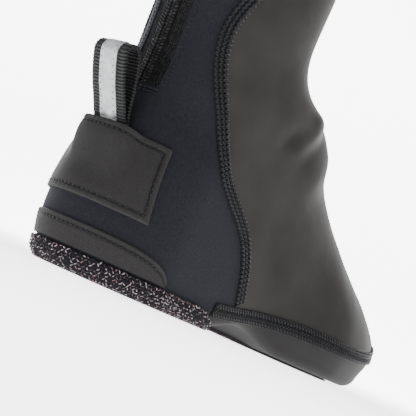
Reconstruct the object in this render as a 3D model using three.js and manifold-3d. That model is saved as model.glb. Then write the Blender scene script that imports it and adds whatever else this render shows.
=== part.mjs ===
// A right cycling overshoe, standing empty on the bindings of its heel and cleat openings.
// It is a neoprene boot of one thin wall on the form of a cycling shoe and ankle, with a rubberised
// sole panel, flatlock seams, knitted bindings, a heel patch that holds a webbing pull loop, and a zip
// up the back. Millimetres: +X is the outer side of the right foot, +Y points to the toe, +Z is up.
import * as THREE from "three";
import Module from "manifold-3d";

const wasm = await Module();
wasm.setup();

// Driving sizes of the form
const LENGTH = 290; // heel to toe, over the shoe
const HEIGHT = 228; // floor to the front of the collar
const HEEL_WIDTH = 74;
const BALL_WIDTH = 104;
const TOE_SWING = 12; // how far the toe swings to the inner side
const ARCH_RISE = 7;
const ARCH_INSET = 5; // how far the inner waist is drawn in
const TOE_SPRING = 15;
const WALL = 3; // neoprene
const EDGE_RADIUS = 6; // bottom edge of the form

// Driving sizes of what is sewn on
const CLEARANCE = 0.3; // between touching pieces
const BINDING = 1.9; // thickness of the knitted binding
const BINDING_SLACK = 0.5; // between the binding and the wall
const BINDING_OUTSIDE = 14; // its width on the outside of the heel
const BINDING_INSIDE = 8;
const BINDING_SOLE = 9; // its width round the cleat opening
const HEEL_LIP = 8.5; // from the heel's side in to the edge of the heel opening
const HEEL_OPENING_END = 84; // from the back of the heel
const OPENING_CORNER = 14;
const CLEAT_OPENING_START = 153;
const CLEAT_OPENING_LENGTH = 80;
const CLEAT_OPENING_WIDTH = 60;
const PATCH_THICKNESS = 1.4;
const PATCH_BOTTOM = 32; // heights up the middle of the back
const PATCH_TOP = 66;
const PATCH_HALF_BOTTOM = 38; // half widths along the surface
const PATCH_HALF_TOP = 31;
const PATCH_SWELL_START = 0.45; // share of its height at which it starts to rise over the webbing
const PATCH_SWELL_RUN = 0.3;
const COUNTER_THICKNESS = 1.1;
const COUNTER_TOP = 22;
const COUNTER_HALF = 58;
const SEAM_WIDTH = 6.6;
const SEAM_THICKNESS = 0.9;
const WEBBING_WIDTH = 20;
const WEBBING = 1.6;
const LOOP_HEIGHT = 34; // free height above the patch
const LOOP_LEAN = 27; // degrees back from upright
const LOOP_GAP = 6.2; // between its two layers at the bend
const LOOP_TUCK = 8; // how far its ends go down behind the patch
const REFLECTIVE_WIDTH = 10;
const REFLECTIVE = 0.5;
const ZIP_BOTTOM = 90;
const ZIP_HALF = 10; // half width of the tape that shows
const COIL_HALF = 3.2;
const COIL_RISE = 1.1;
const ZIP_TAPE = 1.2;
const SLIDER_LENGTH = 11;
const SLIDER_WIDTH = 8.4;
const SLIDER_THICKNESS = 2.6;
const SLIDER_BELOW_COLLAR = 9;
const PULL_LENGTH = 24;
const PULL_WIDTH = 5;
const PULL_THICKNESS = 1.4;
const PIN_RADIUS = 0.8;

const BOTTOM = BINDING + CLEARANCE; // the sole panel's underside, carried clear of the floor by the bindings
const EDGE_TOP = BOTTOM + EDGE_RADIUS; // where the rounded bottom edge ends and the rings begin
const WRAP_START = HEEL_OPENING_END - BINDING_SLACK * 8; // the sole panel's back edge, under the heel binding
const SOLE_SEAM_START = HEEL_OPENING_END + SEAM_WIDTH * 1.2;

// Rings of the form, from the bottom edge to the collar. A ring is a closed curve in a plane that tilts from
// a back point to a front point. Along Y: shares of LENGTH. Up Z: shares of the height above the bottom edge.
// Half widths: shares of half the heel width at the heel and waist, and of half the ball width at the ball.
// The caps are how far, in shares of LENGTH, each end takes to round off, and bow is how much the ring
// follows the arch and the toe spring.
const COLUMNS = ["backY", "backZ", "frontY", "frontZ", "heel", "waist", "ball", "backCap", "frontCap", "bow"];
const RINGS = [
  [0.012, 0, 0.986, 0, 0.93, 0.91, 0.955, 0.15, 0.33, 1],
  [0.003, 0.0509, 1, 0.0457, 0.985, 0.97, 1, 0.15, 0.33, 1],
  [0, 0.1027, 0.993, 0.0924, 1, 1, 0.985, 0.148, 0.33, 0.85],
  [0.002, 0.1515, 0.962, 0.137, 0.995, 1, 0.945, 0.146, 0.34, 0.6],
  [0.0065, 0.1982, 0.9, 0.1857, 0.985, 0.995, 0.885, 0.146, 0.34, 0.4],
  [0.013, 0.2397, 0.822, 0.2345, 0.965, 0.985, 0.81, 0.148, 0.33, 0.25],
  [0.02, 0.277, 0.737, 0.2863, 0.945, 0.975, 0.74, 0.15, 0.32, 0.1],
  [0.026, 0.3102, 0.66, 0.334, 0.925, 0.97, 0.7, 0.153, 0.3, 0],
  [0.0305, 0.3392, 0.6, 0.3818, 0.91, 0.965, 0.68, 0.156, 0.28, 0],
  [0.0335, 0.3662, 0.558, 0.4357, 0.9, 0.96, 0.67, 0.158, 0.26, 0],
  [0.035, 0.3901, 0.527, 0.4896, 0.89, 0.955, 0.66, 0.16, 0.25, 0],
  [0.0355, 0.4129, 0.486, 0.5291, 0.885, 0.95, 0.65, 0.162, 0.235, 0],
  [0.035, 0.4367, 0.433, 0.5477, 0.88, 0.945, 0.64, 0.164, 0.215, 0],
  [0.0335, 0.4647, 0.388, 0.5643, 0.875, 0.93, 0.63, 0.166, 0.19, 0],
  [0.0305, 0.5021, 0.361, 0.6006, 0.87, 0.915, 0.62, 0.166, 0.17, 0],
  [0.026, 0.554, 0.35, 0.6556, 0.865, 0.9, 0.61, 0.163, 0.16, 0],
  [0.015, 0.6432, 0.345, 0.7386, 0.865, 0.89, 0.6, 0.165, 0.163, 0],
  [-0.001, 0.7822, 0.347, 0.8527, 0.875, 0.89, 0.6, 0.172, 0.172, 0],
  [-0.02, 0.9772, 0.355, 1, 0.91, 0.91, 0.6, 0.185, 0.185, 0],
].map((row) => Object.fromEntries(COLUMNS.map((name, i) => [name, row[i]])));
const LAST_RING = RINGS.length - 1;
const HEEL_AT = 0.12; // stations of the half widths, in shares of LENGTH
const WAIST_AT = 0.40;
const BALL_AT = 0.69;
const BACK_ROUND = 2.05; // 2 is an ellipse's end
const FRONT_ROUND = 2.15;

// Side seam from the sole seam up to the collar, and height of the sole seam along the foot: pairs of shares
// of LENGTH and of the height above the bottom edge
const SIDE_SEAM = [
  [0.343, 0.0478],
  [0.326, 0.0809],
  [0.309, 0.1204],
  [0.291, 0.1556],
  [0.267, 0.1878],
  [0.236, 0.2148],
  [0.198, 0.2448],
  [0.163, 0.2801],
  [0.126, 0.3631],
  [0.093, 0.4544],
  [0.079, 0.5405],
  [0.09, 0.6266],
  [0.118, 0.7251],
  [0.153, 0.8444],
  [0.186, 0.9772],
];
const SOLE_SEAM = [
  [0.275, 0.0135],
  [0.35, 0.0249],
  [0.44, 0.0415],
  [0.54, 0.054],
  [0.69, 0.0581],
  [0.84, 0.0716],
  [0.93, 0.0955],
  [1.01, 0.1204],
];

const clamp = (v, low, high) => Math.min(high, Math.max(low, v));
const smooth = (v) => v * v * (3 - 2 * v);
const vec = (x, y, z) => new THREE.Vector3(x, y, z);
const heightOf = (share) => EDGE_TOP + share * (HEIGHT - EDGE_TOP);

// A value between a table's rows, on a smooth curve through them
function between(rows, at, column) {
  const i = clamp(Math.floor(at), 0, rows.length - 2);
  const s = at - i;
  const [a, b] = [rows[i][column], rows[i + 1][column]];
  const before = i > 0 ? (b - rows[i - 1][column]) / 2 : b - a;
  const after = i < rows.length - 2 ? (rows[i + 2][column] - a) / 2 : b - a;
  const s2 = s * s;
  const s3 = s2 * s;
  return a * (2 * s3 - 3 * s2 + 1) + before * (s3 - 2 * s2 + s) + b * (3 * s2 - 2 * s3) + after * (s3 - s2);
}

// The underside's rise above its plane: the arch and the toe spring
function underside(y) {
  const s = y / LENGTH;
  const arch = clamp((s - 0.285) / (0.535 - 0.285), 0, 1);
  const toe = Math.max(0, (s - 0.775) / 0.225);
  return ARCH_RISE * Math.sin(Math.PI * arch) ** 2 + TOE_SPRING * toe * toe;
}

const middleLine = (y) => -TOE_SWING * Math.max(0, y / LENGTH - 0.3) ** 2 / 0.49;

// Half width at y of a ring, before its ends are rounded
function breadth(ring, y, side) {
  const s = y / LENGTH;
  const [heel, waist, ball] = [ring.heel * HEEL_WIDTH, ring.waist * HEEL_WIDTH, ring.ball * BALL_WIDTH];
  const front = smooth(clamp((s - WAIST_AT) / (BALL_AT - WAIST_AT), 0, 1));
  const back = smooth(clamp((s - HEEL_AT) / (WAIST_AT - HEEL_AT), 0, 1));
  const full = (heel + (waist - heel) * back + (ball - waist) * front) / 2;
  const waistInset = Math.sin(Math.PI * clamp((s - 0.24) / 0.4, 0, 1)) ** 2;
  return side < 0 ? full - ARCH_INSET * ring.bow * waistInset : full;
}

function ringAt(level) {
  return Object.fromEntries(COLUMNS.map((c) => [c, between(RINGS, level, c)]));
}

// A point of a ring. turn runs from 0 at the back, over the outer side, to pi at the front and on to 2 pi.
function ringPoint(ring, turn) {
  const side = Math.sin(turn) < 0 ? -1 : 1;
  const along = (1 - Math.cos(turn)) / 2;
  const length = (ring.frontY - ring.backY) * LENGTH;
  const y = ring.backY * LENGTH + along * length;
  const fromBack = clamp((along * length) / (ring.backCap * LENGTH), 0, 1);
  const fromFront = clamp(((1 - along) * length) / (ring.frontCap * LENGTH), 0, 1);
  const roundOff = (share, power) => (1 - (1 - share) ** power) ** (1 / power);
  const cap = roundOff(fromBack, BACK_ROUND) * roundOff(fromFront, FRONT_ROUND);
  const x = middleLine(y) + side * cap * breadth(ring, y, side);
  const z = heightOf(ring.backZ + along * (ring.frontZ - ring.backZ)) + ring.bow * underside(y);
  return vec(x, y, z);
}

const STEP = 1e-3;
const bottomRing = ringAt(0);
// Outward direction, in plan, of the bottom ring
function outlineNormal(turn) {
  const d = ringPoint(bottomRing, turn + STEP).sub(ringPoint(bottomRing, turn - STEP));
  return vec(d.y, -d.x, 0).normalize();
}

// The form's outside. level runs from -1, where the rounded bottom edge starts, through 0 to the last ring.
function formPoint(level, turn) {
  if (level >= 0) return ringPoint(ringAt(level), turn);
  const lean = (1 + level) * (Math.PI / 2);
  const edge = ringPoint(bottomRing, turn);
  const point = edge.clone().addScaledVector(outlineNormal(turn), -EDGE_RADIUS * (1 - Math.sin(lean)));
  point.z = BOTTOM + underside(point.y) + EDGE_RADIUS * (1 - Math.cos(lean));
  return point;
}

function formNormal(level, turn) {
  const up = formPoint(level + STEP, turn).sub(formPoint(Math.max(level - STEP, -1), turn));
  const round = formPoint(level, turn + STEP).sub(formPoint(level, turn - STEP));
  return round.cross(up).normalize();
}

// A point that stands out from the form by a distance
const surface = (level, turn, out) => formPoint(level, turn).addScaledVector(formNormal(level, turn), out);

// The level at which a ring passes a height, at y along the foot
function levelAt(y, z) {
  let [low, high] = [0, LAST_RING];
  for (let i = 0; i < 30; i++) {
    const middle = (low + high) / 2;
    const ring = ringAt(middle);
    const along = clamp((y / LENGTH - ring.backY) / (ring.frontY - ring.backY), 0, 1);
    const height = heightOf(ring.backZ + along * (ring.frontZ - ring.backZ)) + ring.bow * underside(y);
    if (height < z) low = middle;
    else high = middle;
  }
  return (low + high) / 2;
}

function turnAt(level, y, side) {
  const ring = ringAt(level);
  const along = clamp((y / LENGTH - ring.backY) / (ring.frontY - ring.backY), 0, 1);
  const turn = Math.acos(1 - 2 * along);
  return side < 0 ? 2 * Math.PI - turn : turn;
}

// The turn that lies a distance along a ring from the middle of the back
function turnAlong(level, distance) {
  const ring = ringAt(Math.max(level, 0));
  const step = 0.01;
  let turn = 0;
  let left = Math.abs(distance);
  let at = ringPoint(ring, 0);
  for (;;) {
    const next = ringPoint(ring, turn + step);
    const gone = next.distanceTo(at);
    if (gone >= left) return Math.sign(distance) * (turn + (step * left) / gone);
    left -= gone;
    turn += step;
    at = next;
  }
}

const backLevel = (z) => levelAt(backLine(z), z);
function backLine(z) {
  let [low, high] = [0, LAST_RING];
  for (let i = 0; i < 30; i++) {
    const middle = (low + high) / 2;
    if (heightOf(between(RINGS, middle, "backZ")) < z) low = middle;
    else high = middle;
  }
  return between(RINGS, low, "backY") * LENGTH;
}

const table = (rows) => rows.map(([y, z]) => ({ y: y * LENGTH, z: heightOf(z) }));
function pathThrough(rows, steps) {
  return Array.from({ length: steps + 1 }, (_, i) => {
    const at = (i / steps) * (rows.length - 1);
    return { y: between(rows, at, "y"), z: between(rows, at, "z") };
  });
}

// A closed mesh as a geometry, turned so that its faces point out
function closedGeometry(points, triangles) {
  const geometry = new THREE.BufferGeometry();
  const flat = new Float32Array(points.flatMap((p) => [p.x, p.y, p.z]));
  let volume = 0;
  for (const [a, b, c] of triangles) volume += points[a].dot(points[b].clone().cross(points[c]));
  const faces = volume < 0 ? triangles.map(([a, b, c]) => [a, c, b]) : triangles;
  geometry.setAttribute("position", new THREE.BufferAttribute(flat, 3));
  geometry.setIndex(faces.flat());
  return geometry;
}

function solid(geometry) {
  return new wasm.Manifold(
    new wasm.Mesh({
      numProp: 3,
      vertProperties: geometry.getAttribute("position").array,
      triVerts: new Uint32Array(geometry.index.array),
    }),
  );
}

function geometryOf(manifold) {
  const mesh = manifold.getMesh();
  const geometry = new THREE.BufferGeometry();
  geometry.setAttribute("position", new THREE.BufferAttribute(new Float32Array(mesh.vertProperties), 3));
  geometry.setIndex(Array.from(mesh.triVerts));
  return geometry;
}

// A sheet of a thickness: point(u, v, layer) with layer 0 inside and 1 outside
function sheet(uSteps, vSteps, point) {
  const points = [];
  const triangles = [];
  const index = (i, j, layer) => (layer * (uSteps + 1) + i) * (vSteps + 1) + j;
  for (let layer = 0; layer < 2; layer++)
    for (let i = 0; i <= uSteps; i++)
      for (let j = 0; j <= vSteps; j++) points.push(point(i / uSteps, j / vSteps, layer));
  const quad = (a, b, c, d) => triangles.push([a, b, c], [a, c, d]);
  for (let i = 0; i < uSteps; i++)
    for (let j = 0; j < vSteps; j++) {
      quad(index(i, j, 0), index(i, j + 1, 0), index(i + 1, j + 1, 0), index(i + 1, j, 0));
      quad(index(i, j, 1), index(i + 1, j, 1), index(i + 1, j + 1, 1), index(i, j + 1, 1));
    }
  for (let i = 0; i < uSteps; i++) {
    quad(index(i, 0, 0), index(i + 1, 0, 0), index(i + 1, 0, 1), index(i, 0, 1));
    quad(index(i, vSteps, 0), index(i, vSteps, 1), index(i + 1, vSteps, 1), index(i + 1, vSteps, 0));
  }
  for (let j = 0; j < vSteps; j++) {
    quad(index(0, j, 0), index(0, j, 1), index(0, j + 1, 1), index(0, j + 1, 0));
    quad(index(uSteps, j, 0), index(uSteps, j + 1, 0), index(uSteps, j + 1, 1), index(uSteps, j, 1));
  }
  return closedGeometry(points, triangles);
}

// A closed section carried round a closed path
function hoop(sections) {
  const [count, size] = [sections.length, sections[0].length];
  const triangles = [];
  for (let i = 0; i < count; i++)
    for (let j = 0; j < size; j++) {
      const [a, b] = [i * size + j, i * size + ((j + 1) % size)];
      const [c, d] = [((i + 1) % count) * size + ((j + 1) % size), ((i + 1) % count) * size + j];
      triangles.push([a, b, c], [a, c, d]);
    }
  return closedGeometry(sections.flat(), triangles);
}

// A plan outline or side outline as a prism
function prism(outline, depth) {
  const shape = new THREE.Shape(outline.map(([a, b]) => new THREE.Vector2(a, b)));
  const extruded = new THREE.ExtrudeGeometry(shape, { depth, bevelEnabled: false, steps: 1 });
  const places = new Map();
  const points = [];
  const position = extruded.getAttribute("position");
  const triangles = [];
  const ids = Array.from({ length: position.count }, (_, i) => {
    const p = vec(0, 0, 0).fromBufferAttribute(position, i);
    const key = p.toArray().map((v) => v.toFixed(4)).join();
    if (!places.has(key)) places.set(key, points.push(p) - 1);
    return places.get(key);
  });
  for (let i = 0; i < ids.length; i += 3) triangles.push(ids.slice(i, i + 3));
  return closedGeometry(points, triangles);
}
// A side outline of [y, z] pairs, run across from one x to another
const sidePrism = (outline, from, to) => {
  const turned = new THREE.Matrix4().makeBasis(vec(0, 1, 0), vec(0, 0, 1), vec(1, 0, 0));
  return prism(outline, to - from).applyMatrix4(turned.setPosition(from, 0, 0));
};
const planPrism = (outline, low, high) => prism(outline, high - low).translate(0, 0, low);

// The form grown or shrunk by a distance, as a closed solid
const ROUND_STEPS = 44;
function formSolid(out, top) {
  const levels = [-1, -0.6, -0.25, ...RINGS.keys()];
  const rings = levels.map((level) =>
    Array.from({ length: ROUND_STEPS }, (_, i) => surface(level, (2 * Math.PI * i) / ROUND_STEPS, out)),
  );
  if (top) rings.push(rings.at(-1).map((p) => p.clone().setZ(p.z + top)));
  const points = rings.flat();
  const triangles = [];
  const id = (r, i) => r * ROUND_STEPS + ((i + ROUND_STEPS) % ROUND_STEPS);
  for (let r = 0; r < rings.length - 1; r++)
    for (let i = 0; i < ROUND_STEPS; i++) {
      triangles.push([id(r, i), id(r, i + 1), id(r + 1, i + 1)], [id(r, i), id(r + 1, i + 1), id(r + 1, i)]);
    }
  const cap = (r, flip) => {
    for (let i = 0; i < ROUND_STEPS / 2; i++) {
      const strip = [
        [id(r, i), id(r, -i - 1), id(r, i + 1)],
        [id(r, i), id(r, -i), id(r, -i - 1)],
      ].filter(([a, b, c]) => a !== b && b !== c && a !== c);
      triangles.push(...(flip ? strip.map(([a, b, c]) => [a, c, b]) : strip));
    }
  };
  cap(0, false);
  cap(rings.length - 1, true);
  return solid(closedGeometry(points, triangles));
}

// Plan path of the heel opening's edge: each entry has the point, the outward direction, how deep it lies
// inside the form's side, and how squarely it faces that side.
const HEEL_STEPS = 20;
const CORNER_STEPS = 4;
function heelOpeningPath() {
  const cornerY = HEEL_OPENING_END - OPENING_CORNER;
  const last = turnAt(0, cornerY, 1);
  const path = [];
  for (let i = 0; i <= HEEL_STEPS; i++) {
    const turn = -last + (2 * last * i) / HEEL_STEPS;
    const out = outlineNormal(turn);
    const point = ringPoint(bottomRing, turn).addScaledVector(out, -HEEL_LIP);
    path.push({ point, out, depth: HEEL_LIP, facing: 1 });
  }
  const corner = (edge, side) => {
    const centre = vec(edge.x - side * OPENING_CORNER, edge.y, 0);
    return Array.from({ length: CORNER_STEPS }, (_, i) => {
      const swing = ((i + 1) / CORNER_STEPS) * (Math.PI / 2);
      const out = vec(side * Math.cos(swing), Math.sin(swing), 0);
      const point = centre.clone().addScaledVector(out, OPENING_CORNER);
      const depth = HEEL_LIP + OPENING_CORNER * (1 - Math.cos(swing));
      return { point, out, depth, facing: Math.cos(swing) };
    });
  };
  const outer = corner(path.at(-1).point, 1);
  const inner = corner(path[0].point, -1).reverse();
  const end = outer.at(-1);
  const middle = [1 / 3, 2 / 3].map((s) => ({ ...end, point: end.point.clone().lerp(inner[0].point, s) }));
  return [...path, ...outer, ...middle, ...inner];
}

const SIDE_FLARE = 0.2; // how much the heel's side leans out above its bottom edge
const EDGE_ON = 0.05; // facing under which an entry counts as square to the form's side
// Walks from the opening's edge out over the form's underside, round its bottom edge and up its side. Gives,
// for each distance, how far out and up it has come and the direction that faces away from the form there.
function stripAt(entry, distance) {
  const step = 0.25;
  let [out, up, lean] = [0, 0, 0];
  for (let gone = 0; gone < distance - 1e-6; gone += step) {
    const depth = entry.depth - out * entry.facing;
    if (lean === 0 && (depth > EDGE_RADIUS || entry.facing < EDGE_ON)) out += step;
    else if (lean < Math.PI / 2) {
      const stretch = Math.hypot(Math.cos(lean) / entry.facing, Math.sin(lean));
      const turned = step / EDGE_RADIUS / stretch;
      out += (EDGE_RADIUS * Math.cos(lean) * turned) / entry.facing;
      up += EDGE_RADIUS * Math.sin(lean) * turned;
      lean += turned;
    } else {
      out += step * SIDE_FLARE;
      up += step * Math.sqrt(1 - SIDE_FLARE ** 2);
    }
  }
  return { out, up, away: [Math.sin(lean), -Math.cos(lean)] };
}

function stripPoint(entry, distance, off) {
  const at = stripAt(entry, Math.max(distance, 0));
  const out = at.out + Math.min(distance, 0) + at.away[0] * off;
  const point = entry.point.clone().addScaledVector(entry.out, out);
  point.z = BOTTOM + underside(point.y) + at.up + at.away[1] * off;
  return point;
}

// The binding folded over an opening's edge, as a section of [distance from the edge, off the form's outside]
function bindingSection(outward, inside, inSteps) {
  const [near, far] = [BINDING_SLACK, CLEARANCE + BINDING];
  const [inNear, inFar] = [-WALL - BINDING_SLACK, -WALL - CLEARANCE - BINDING];
  const steps = (length, count) => Array.from({ length: count + 1 }, (_, i) => (length * i) / count);
  const inward = steps(inside, inSteps);
  return [
    ...outward.toReversed().map((s) => [s, far]),
    [-BINDING * 0.8, near],
    [-BINDING - CLEARANCE, -WALL / 2],
    [-BINDING * 0.8, inNear],
    ...inward.map((s) => [s, inFar]),
    ...inward.toReversed().map((s) => [s, inNear]).slice(0, -1),
    [-CLEARANCE, inNear],
    [-CLEARANCE, near],
    ...outward.slice(1).map((s) => [s, near]),
  ];
}

function heelBinding() {
  const flat = HEEL_LIP - EDGE_RADIUS;
  const curved = [0.4, 0.68, 1].map((share) => share * BINDING_OUTSIDE);
  const section = bindingSection([0, flat, ...curved], BINDING_INSIDE, 2);
  return hoop(heelOpeningPath().map((entry) => section.map(([s, off]) => stripPoint(entry, s, off))));
}

// Plan path of the cleat opening: a rounded oblong
const CLEAT_STEPS = 32;
function cleatOpeningPath() {
  const halfLength = CLEAT_OPENING_LENGTH / 2;
  const centreY = CLEAT_OPENING_START + halfLength;
  const squareness = 0.72;
  const place = (turn) => {
    const [c, s] = [Math.cos(turn), Math.sin(turn)];
    const y = centreY + halfLength * Math.sign(s) * Math.abs(s) ** squareness;
    const x = middleLine(y) + (CLEAT_OPENING_WIDTH / 2) * Math.sign(c) * Math.abs(c) ** squareness;
    return vec(x, y, 0);
  };
  return Array.from({ length: CLEAT_STEPS }, (_, i) => {
    const turn = (2 * Math.PI * (i + 0.5)) / CLEAT_STEPS;
    const along = place(turn + 0.05).sub(place(turn - 0.05));
    return { point: place(turn), out: vec(along.y, -along.x, 0).normalize(), depth: BALL_WIDTH, facing: 0 };
  });
}

function cleatBinding() {
  const section = bindingSection([0, BINDING_SOLE], BINDING_INSIDE, 1);
  return hoop(cleatOpeningPath().map((entry) => section.map(([s, off]) => stripPoint(entry, s, off))));
}

// The boot's wall, split at the sole seam, with its openings cut
const soleSeam = table(SOLE_SEAM);
const soleSeamHeight = (y) => {
  const i = clamp(soleSeam.findIndex((row) => row.y > y) - 1, 0, soleSeam.length - 2);
  const s = (y - soleSeam[i].y) / (soleSeam[i + 1].y - soleSeam[i].y);
  return between(soleSeam, i + clamp(s, 0, 1), "z");
};
const FAR = 2 * LENGTH; // beyond the part on every side

function sideSplit(gap, above) {
  const start = WRAP_START + (above ? -gap : gap);
  const line = pathThrough(soleSeam, 24)
    .filter((p) => p.y > start + WALL)
    .map((p) => [p.y, p.z + (above ? gap : -gap)]);
  const corner = [start, line[0][1]];
  return above
    ? [[-FAR, -FAR], [start, -FAR], corner, ...line, [FAR, line.at(-1)[1]], [FAR, FAR], [-FAR, FAR]]
    : [[start, -FAR], [FAR, -FAR], [FAR, line.at(-1)[1]], ...line.toReversed(), corner];
}

function bootWall(clearance) {
  const planOutline = (path) => path.map(({ point }) => [point.x, point.y]);
  return formSolid(clearance, 0)
    .subtract(formSolid(-WALL - clearance, 2 * WALL))
    .subtract(solid(planPrism(planOutline(heelOpeningPath()), -WALL, BOTTOM + ARCH_RISE + WALL)))
    .subtract(solid(planPrism(planOutline(cleatOpeningPath()), -WALL, BOTTOM + ARCH_RISE + WALL)));
}

const wall = bootWall(0);
const clearedWall = bootWall(0.7 * CLEARANCE);

function zipWindow() {
  const heights = [ZIP_BOTTOM, ...[0.45, 0.5, 0.56, 0.64, 0.75, 0.87].map((s) => s * HEIGHT), HEIGHT + WALL];
  const inner = heights.map((z) => [backLine(Math.min(z, HEIGHT)) + 4 * WALL, z]);
  return sidePrism([[-LENGTH / 4, ZIP_BOTTOM], ...inner, [-LENGTH / 4, HEIGHT + WALL]], -ZIP_HALF, ZIP_HALF);
}

const wallSide = (above) => wall.intersect(solid(sidePrism(sideSplit(CLEARANCE / 2, above), -FAR, FAR)));
const upper = () => geometryOf(wallSide(true).subtract(solid(zipWindow())));
const solePanel = () => geometryOf(wallSide(false));

// A flatlock seam: a ribbon centred on a path of { level, turn }
function seamRibbon(path) {
  const across = path.map(({ level, turn }, i) => {
    const [a, b] = [path[Math.max(i - 1, 0)], path[Math.min(i + 1, path.length - 1)]];
    const along = formPoint(b.level, b.turn).sub(formPoint(a.level, a.turn));
    return along.cross(formNormal(level, turn)).normalize();
  });
  return sheet(path.length - 1, 1, (u, v, layer) => {
    const i = Math.round(u * (path.length - 1));
    const { level, turn } = path[i];
    const [dLevel, dTurn] = slide(level, turn, across[i], (v - 0.5) * SEAM_WIDTH);
    return surface(level + dLevel, turn + dTurn, CLEARANCE + layer * SEAM_THICKNESS);
  });
}

// The change of level and turn that moves a point over the form by a distance in a direction
function slide(level, turn, direction, distance) {
  const byLevel = formPoint(level + STEP, turn).sub(formPoint(level - STEP, turn)).divideScalar(2 * STEP);
  const byTurn = formPoint(level, turn + STEP).sub(formPoint(level, turn - STEP)).divideScalar(2 * STEP);
  const [aa, ab, bb] = [byLevel.dot(byLevel), byLevel.dot(byTurn), byTurn.dot(byTurn)];
  const [da, db] = [byLevel.dot(direction) * distance, byTurn.dot(direction) * distance];
  const determinant = aa * bb - ab * ab;
  return [(da * bb - db * ab) / determinant, (db * aa - da * ab) / determinant];
}

function sideSeam(side) {
  const rows = table(SIDE_SEAM);
  const path = pathThrough(rows, 34).map(({ y, z }) => {
    const level = Math.min(levelAt(y, z), LAST_RING - STEP);
    return { level, turn: turnAt(level, y, side) };
  });
  return seamRibbon(path);
}

// The sole seam, from the outer end of the heel binding round the toe to the inner end
function soleSeamLevel(turn) {
  let [low, high] = [0, LAST_RING / 2];
  for (let i = 0; i < 30; i++) {
    const middle = (low + high) / 2;
    const point = ringPoint(ringAt(middle), turn);
    if (point.z < soleSeamHeight(point.y)) low = middle;
    else high = middle;
  }
  return low;
}
function soleSeamPath() {
  const steps = 48;
  const first = turnAt(0.5, SOLE_SEAM_START, 1);
  return Array.from({ length: steps + 1 }, (_, i) => {
    const turn = first + ((2 * Math.PI - 2 * first) * i) / steps;
    return { level: soleSeamLevel(turn), turn };
  });
}

function frontSeam() {
  const steps = 30;
  const [low, high] = [soleSeamLevel(Math.PI) + 0.55, LAST_RING - STEP];
  return seamRibbon(
    Array.from({ length: steps + 1 }, (_, i) => ({ level: low + ((high - low) * i) / steps, turn: Math.PI })),
  );
}

// The heel patch and counter are laid on the back: u runs from the inner side to the outer, v upwards.
const SWELL_REACH = WEBBING_WIDTH * 0.95; // from the middle to where the swelling over the webbing has gone
function heelPatch() {
  const bulge = WEBBING * 3 + CLEARANCE; // room for the two layers of webbing behind the top edge
  return sheet(20, 8, (u, v, layer) => {
    const across = 2 * u - 1;
    const level = backLevel(PATCH_BOTTOM + (PATCH_TOP - PATCH_BOTTOM) * v);
    const half = PATCH_HALF_BOTTOM + (PATCH_HALF_TOP - PATCH_HALF_BOTTOM) * v;
    const turn = turnAlong(level, across * half);
    const beside = (SWELL_REACH - Math.abs(across) * half) / (SWELL_REACH - WEBBING_WIDTH / 2);
    const above = (v - PATCH_SWELL_START) / PATCH_SWELL_RUN;
    const lift = bulge * smooth(clamp(beside, 0, 1)) * smooth(clamp(above, 0, 1));
    return surface(level, turn, CLEARANCE + lift + layer * PATCH_THICKNESS);
  });
}

const BINDING_TOP = BOTTOM + stripAt({ depth: HEEL_LIP, facing: 1 }, BINDING_OUTSIDE).up;
const HEEL_SIDE = 0.1; // share of LENGTH at which the binding's height is taken
const COUNTER_SQUARENESS = 5; // of the counter's ends
const COUNTER_END = 0.001; // keeps the ends from closing to nothing
function heelCounter() {
  return sheet(30, 3, (u, v, layer) => {
    const across = 2 * u - 1;
    const top = backLevel(COUNTER_TOP);
    const fall = Math.sqrt(1 + COUNTER_END - Math.abs(across) ** COUNTER_SQUARENESS);
    const low = levelAt(HEEL_SIDE * LENGTH, BINDING_TOP + CLEARANCE * 2);
    const level = low + (top - low) * v * fall;
    return surface(level, turnAlong(level, across * COUNTER_HALF), CLEARANCE + layer * COUNTER_THICKNESS);
  });
}

// The pull loop: webbing up from behind the patch, over a bend and down again
function loopLine() {
  const lean = (LOOP_LEAN * Math.PI) / 180;
  const up = vec(0, -Math.sin(lean), Math.cos(lean));
  const outward = vec(0, -Math.cos(lean), -Math.sin(lean));
  const half = (WEBBING + CLEARANCE) / 2;
  const start = PATCH_TOP - LOOP_TUCK;
  const out = CLEARANCE + WEBBING / 2;
  const behind = (z, layer) => vec(0, backLine(z) - out - layer * 2 * half, z);
  const lip = PATCH_TOP + PATCH_THICKNESS; // the patch's raised edge
  const mouth = behind(lip + CLEARANCE, 0.5);
  const free = (s, layer) => {
    const spread = half + (LOOP_GAP / 2) * smooth(clamp(s / (0.7 * LOOP_HEIGHT), 0, 1));
    return mouth.clone().addScaledVector(up, s).addScaledVector(outward, spread * (layer ? 1 : -1));
  };
  const rise = [0.12, 0.3, 0.5, 0.7, 0.86].map((s) => s * LOOP_HEIGHT);
  const radius = LOOP_GAP / 2 + half;
  const centre = mouth.clone().addScaledVector(up, LOOP_HEIGHT - radius);
  const bend = [155, 120, 90, 60, 25].map((angle) => {
    const turned = (angle * Math.PI) / 180;
    const point = centre.clone().addScaledVector(up, radius * Math.sin(turned));
    return point.addScaledVector(outward, radius * Math.cos(turned));
  });
  return [
    behind(start, 0),
    behind(lip, 0),
    ...rise.map((s) => free(s, 0)),
    ...bend,
    ...rise.toReversed().map((s) => free(s, 1)),
    behind(lip, 1),
    behind(start, 1),
  ];
}

// A strap on a line in the middle plane, between two of the line's points, from inner to outer off the line
function strap(line, [first, last], width, inner, outer) {
  return sheet(last - first, 1, (u, v, layer) => {
    const i = first + Math.round(u * (last - first));
    const along = line[Math.min(i + 1, line.length - 1)].clone().sub(line[Math.max(i - 1, 0)]);
    const side = vec(0, along.z, -along.y).normalize();
    return line[i].clone().addScaledVector(side, layer ? outer : inner).setX((v - 0.5) * width);
  });
}

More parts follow.
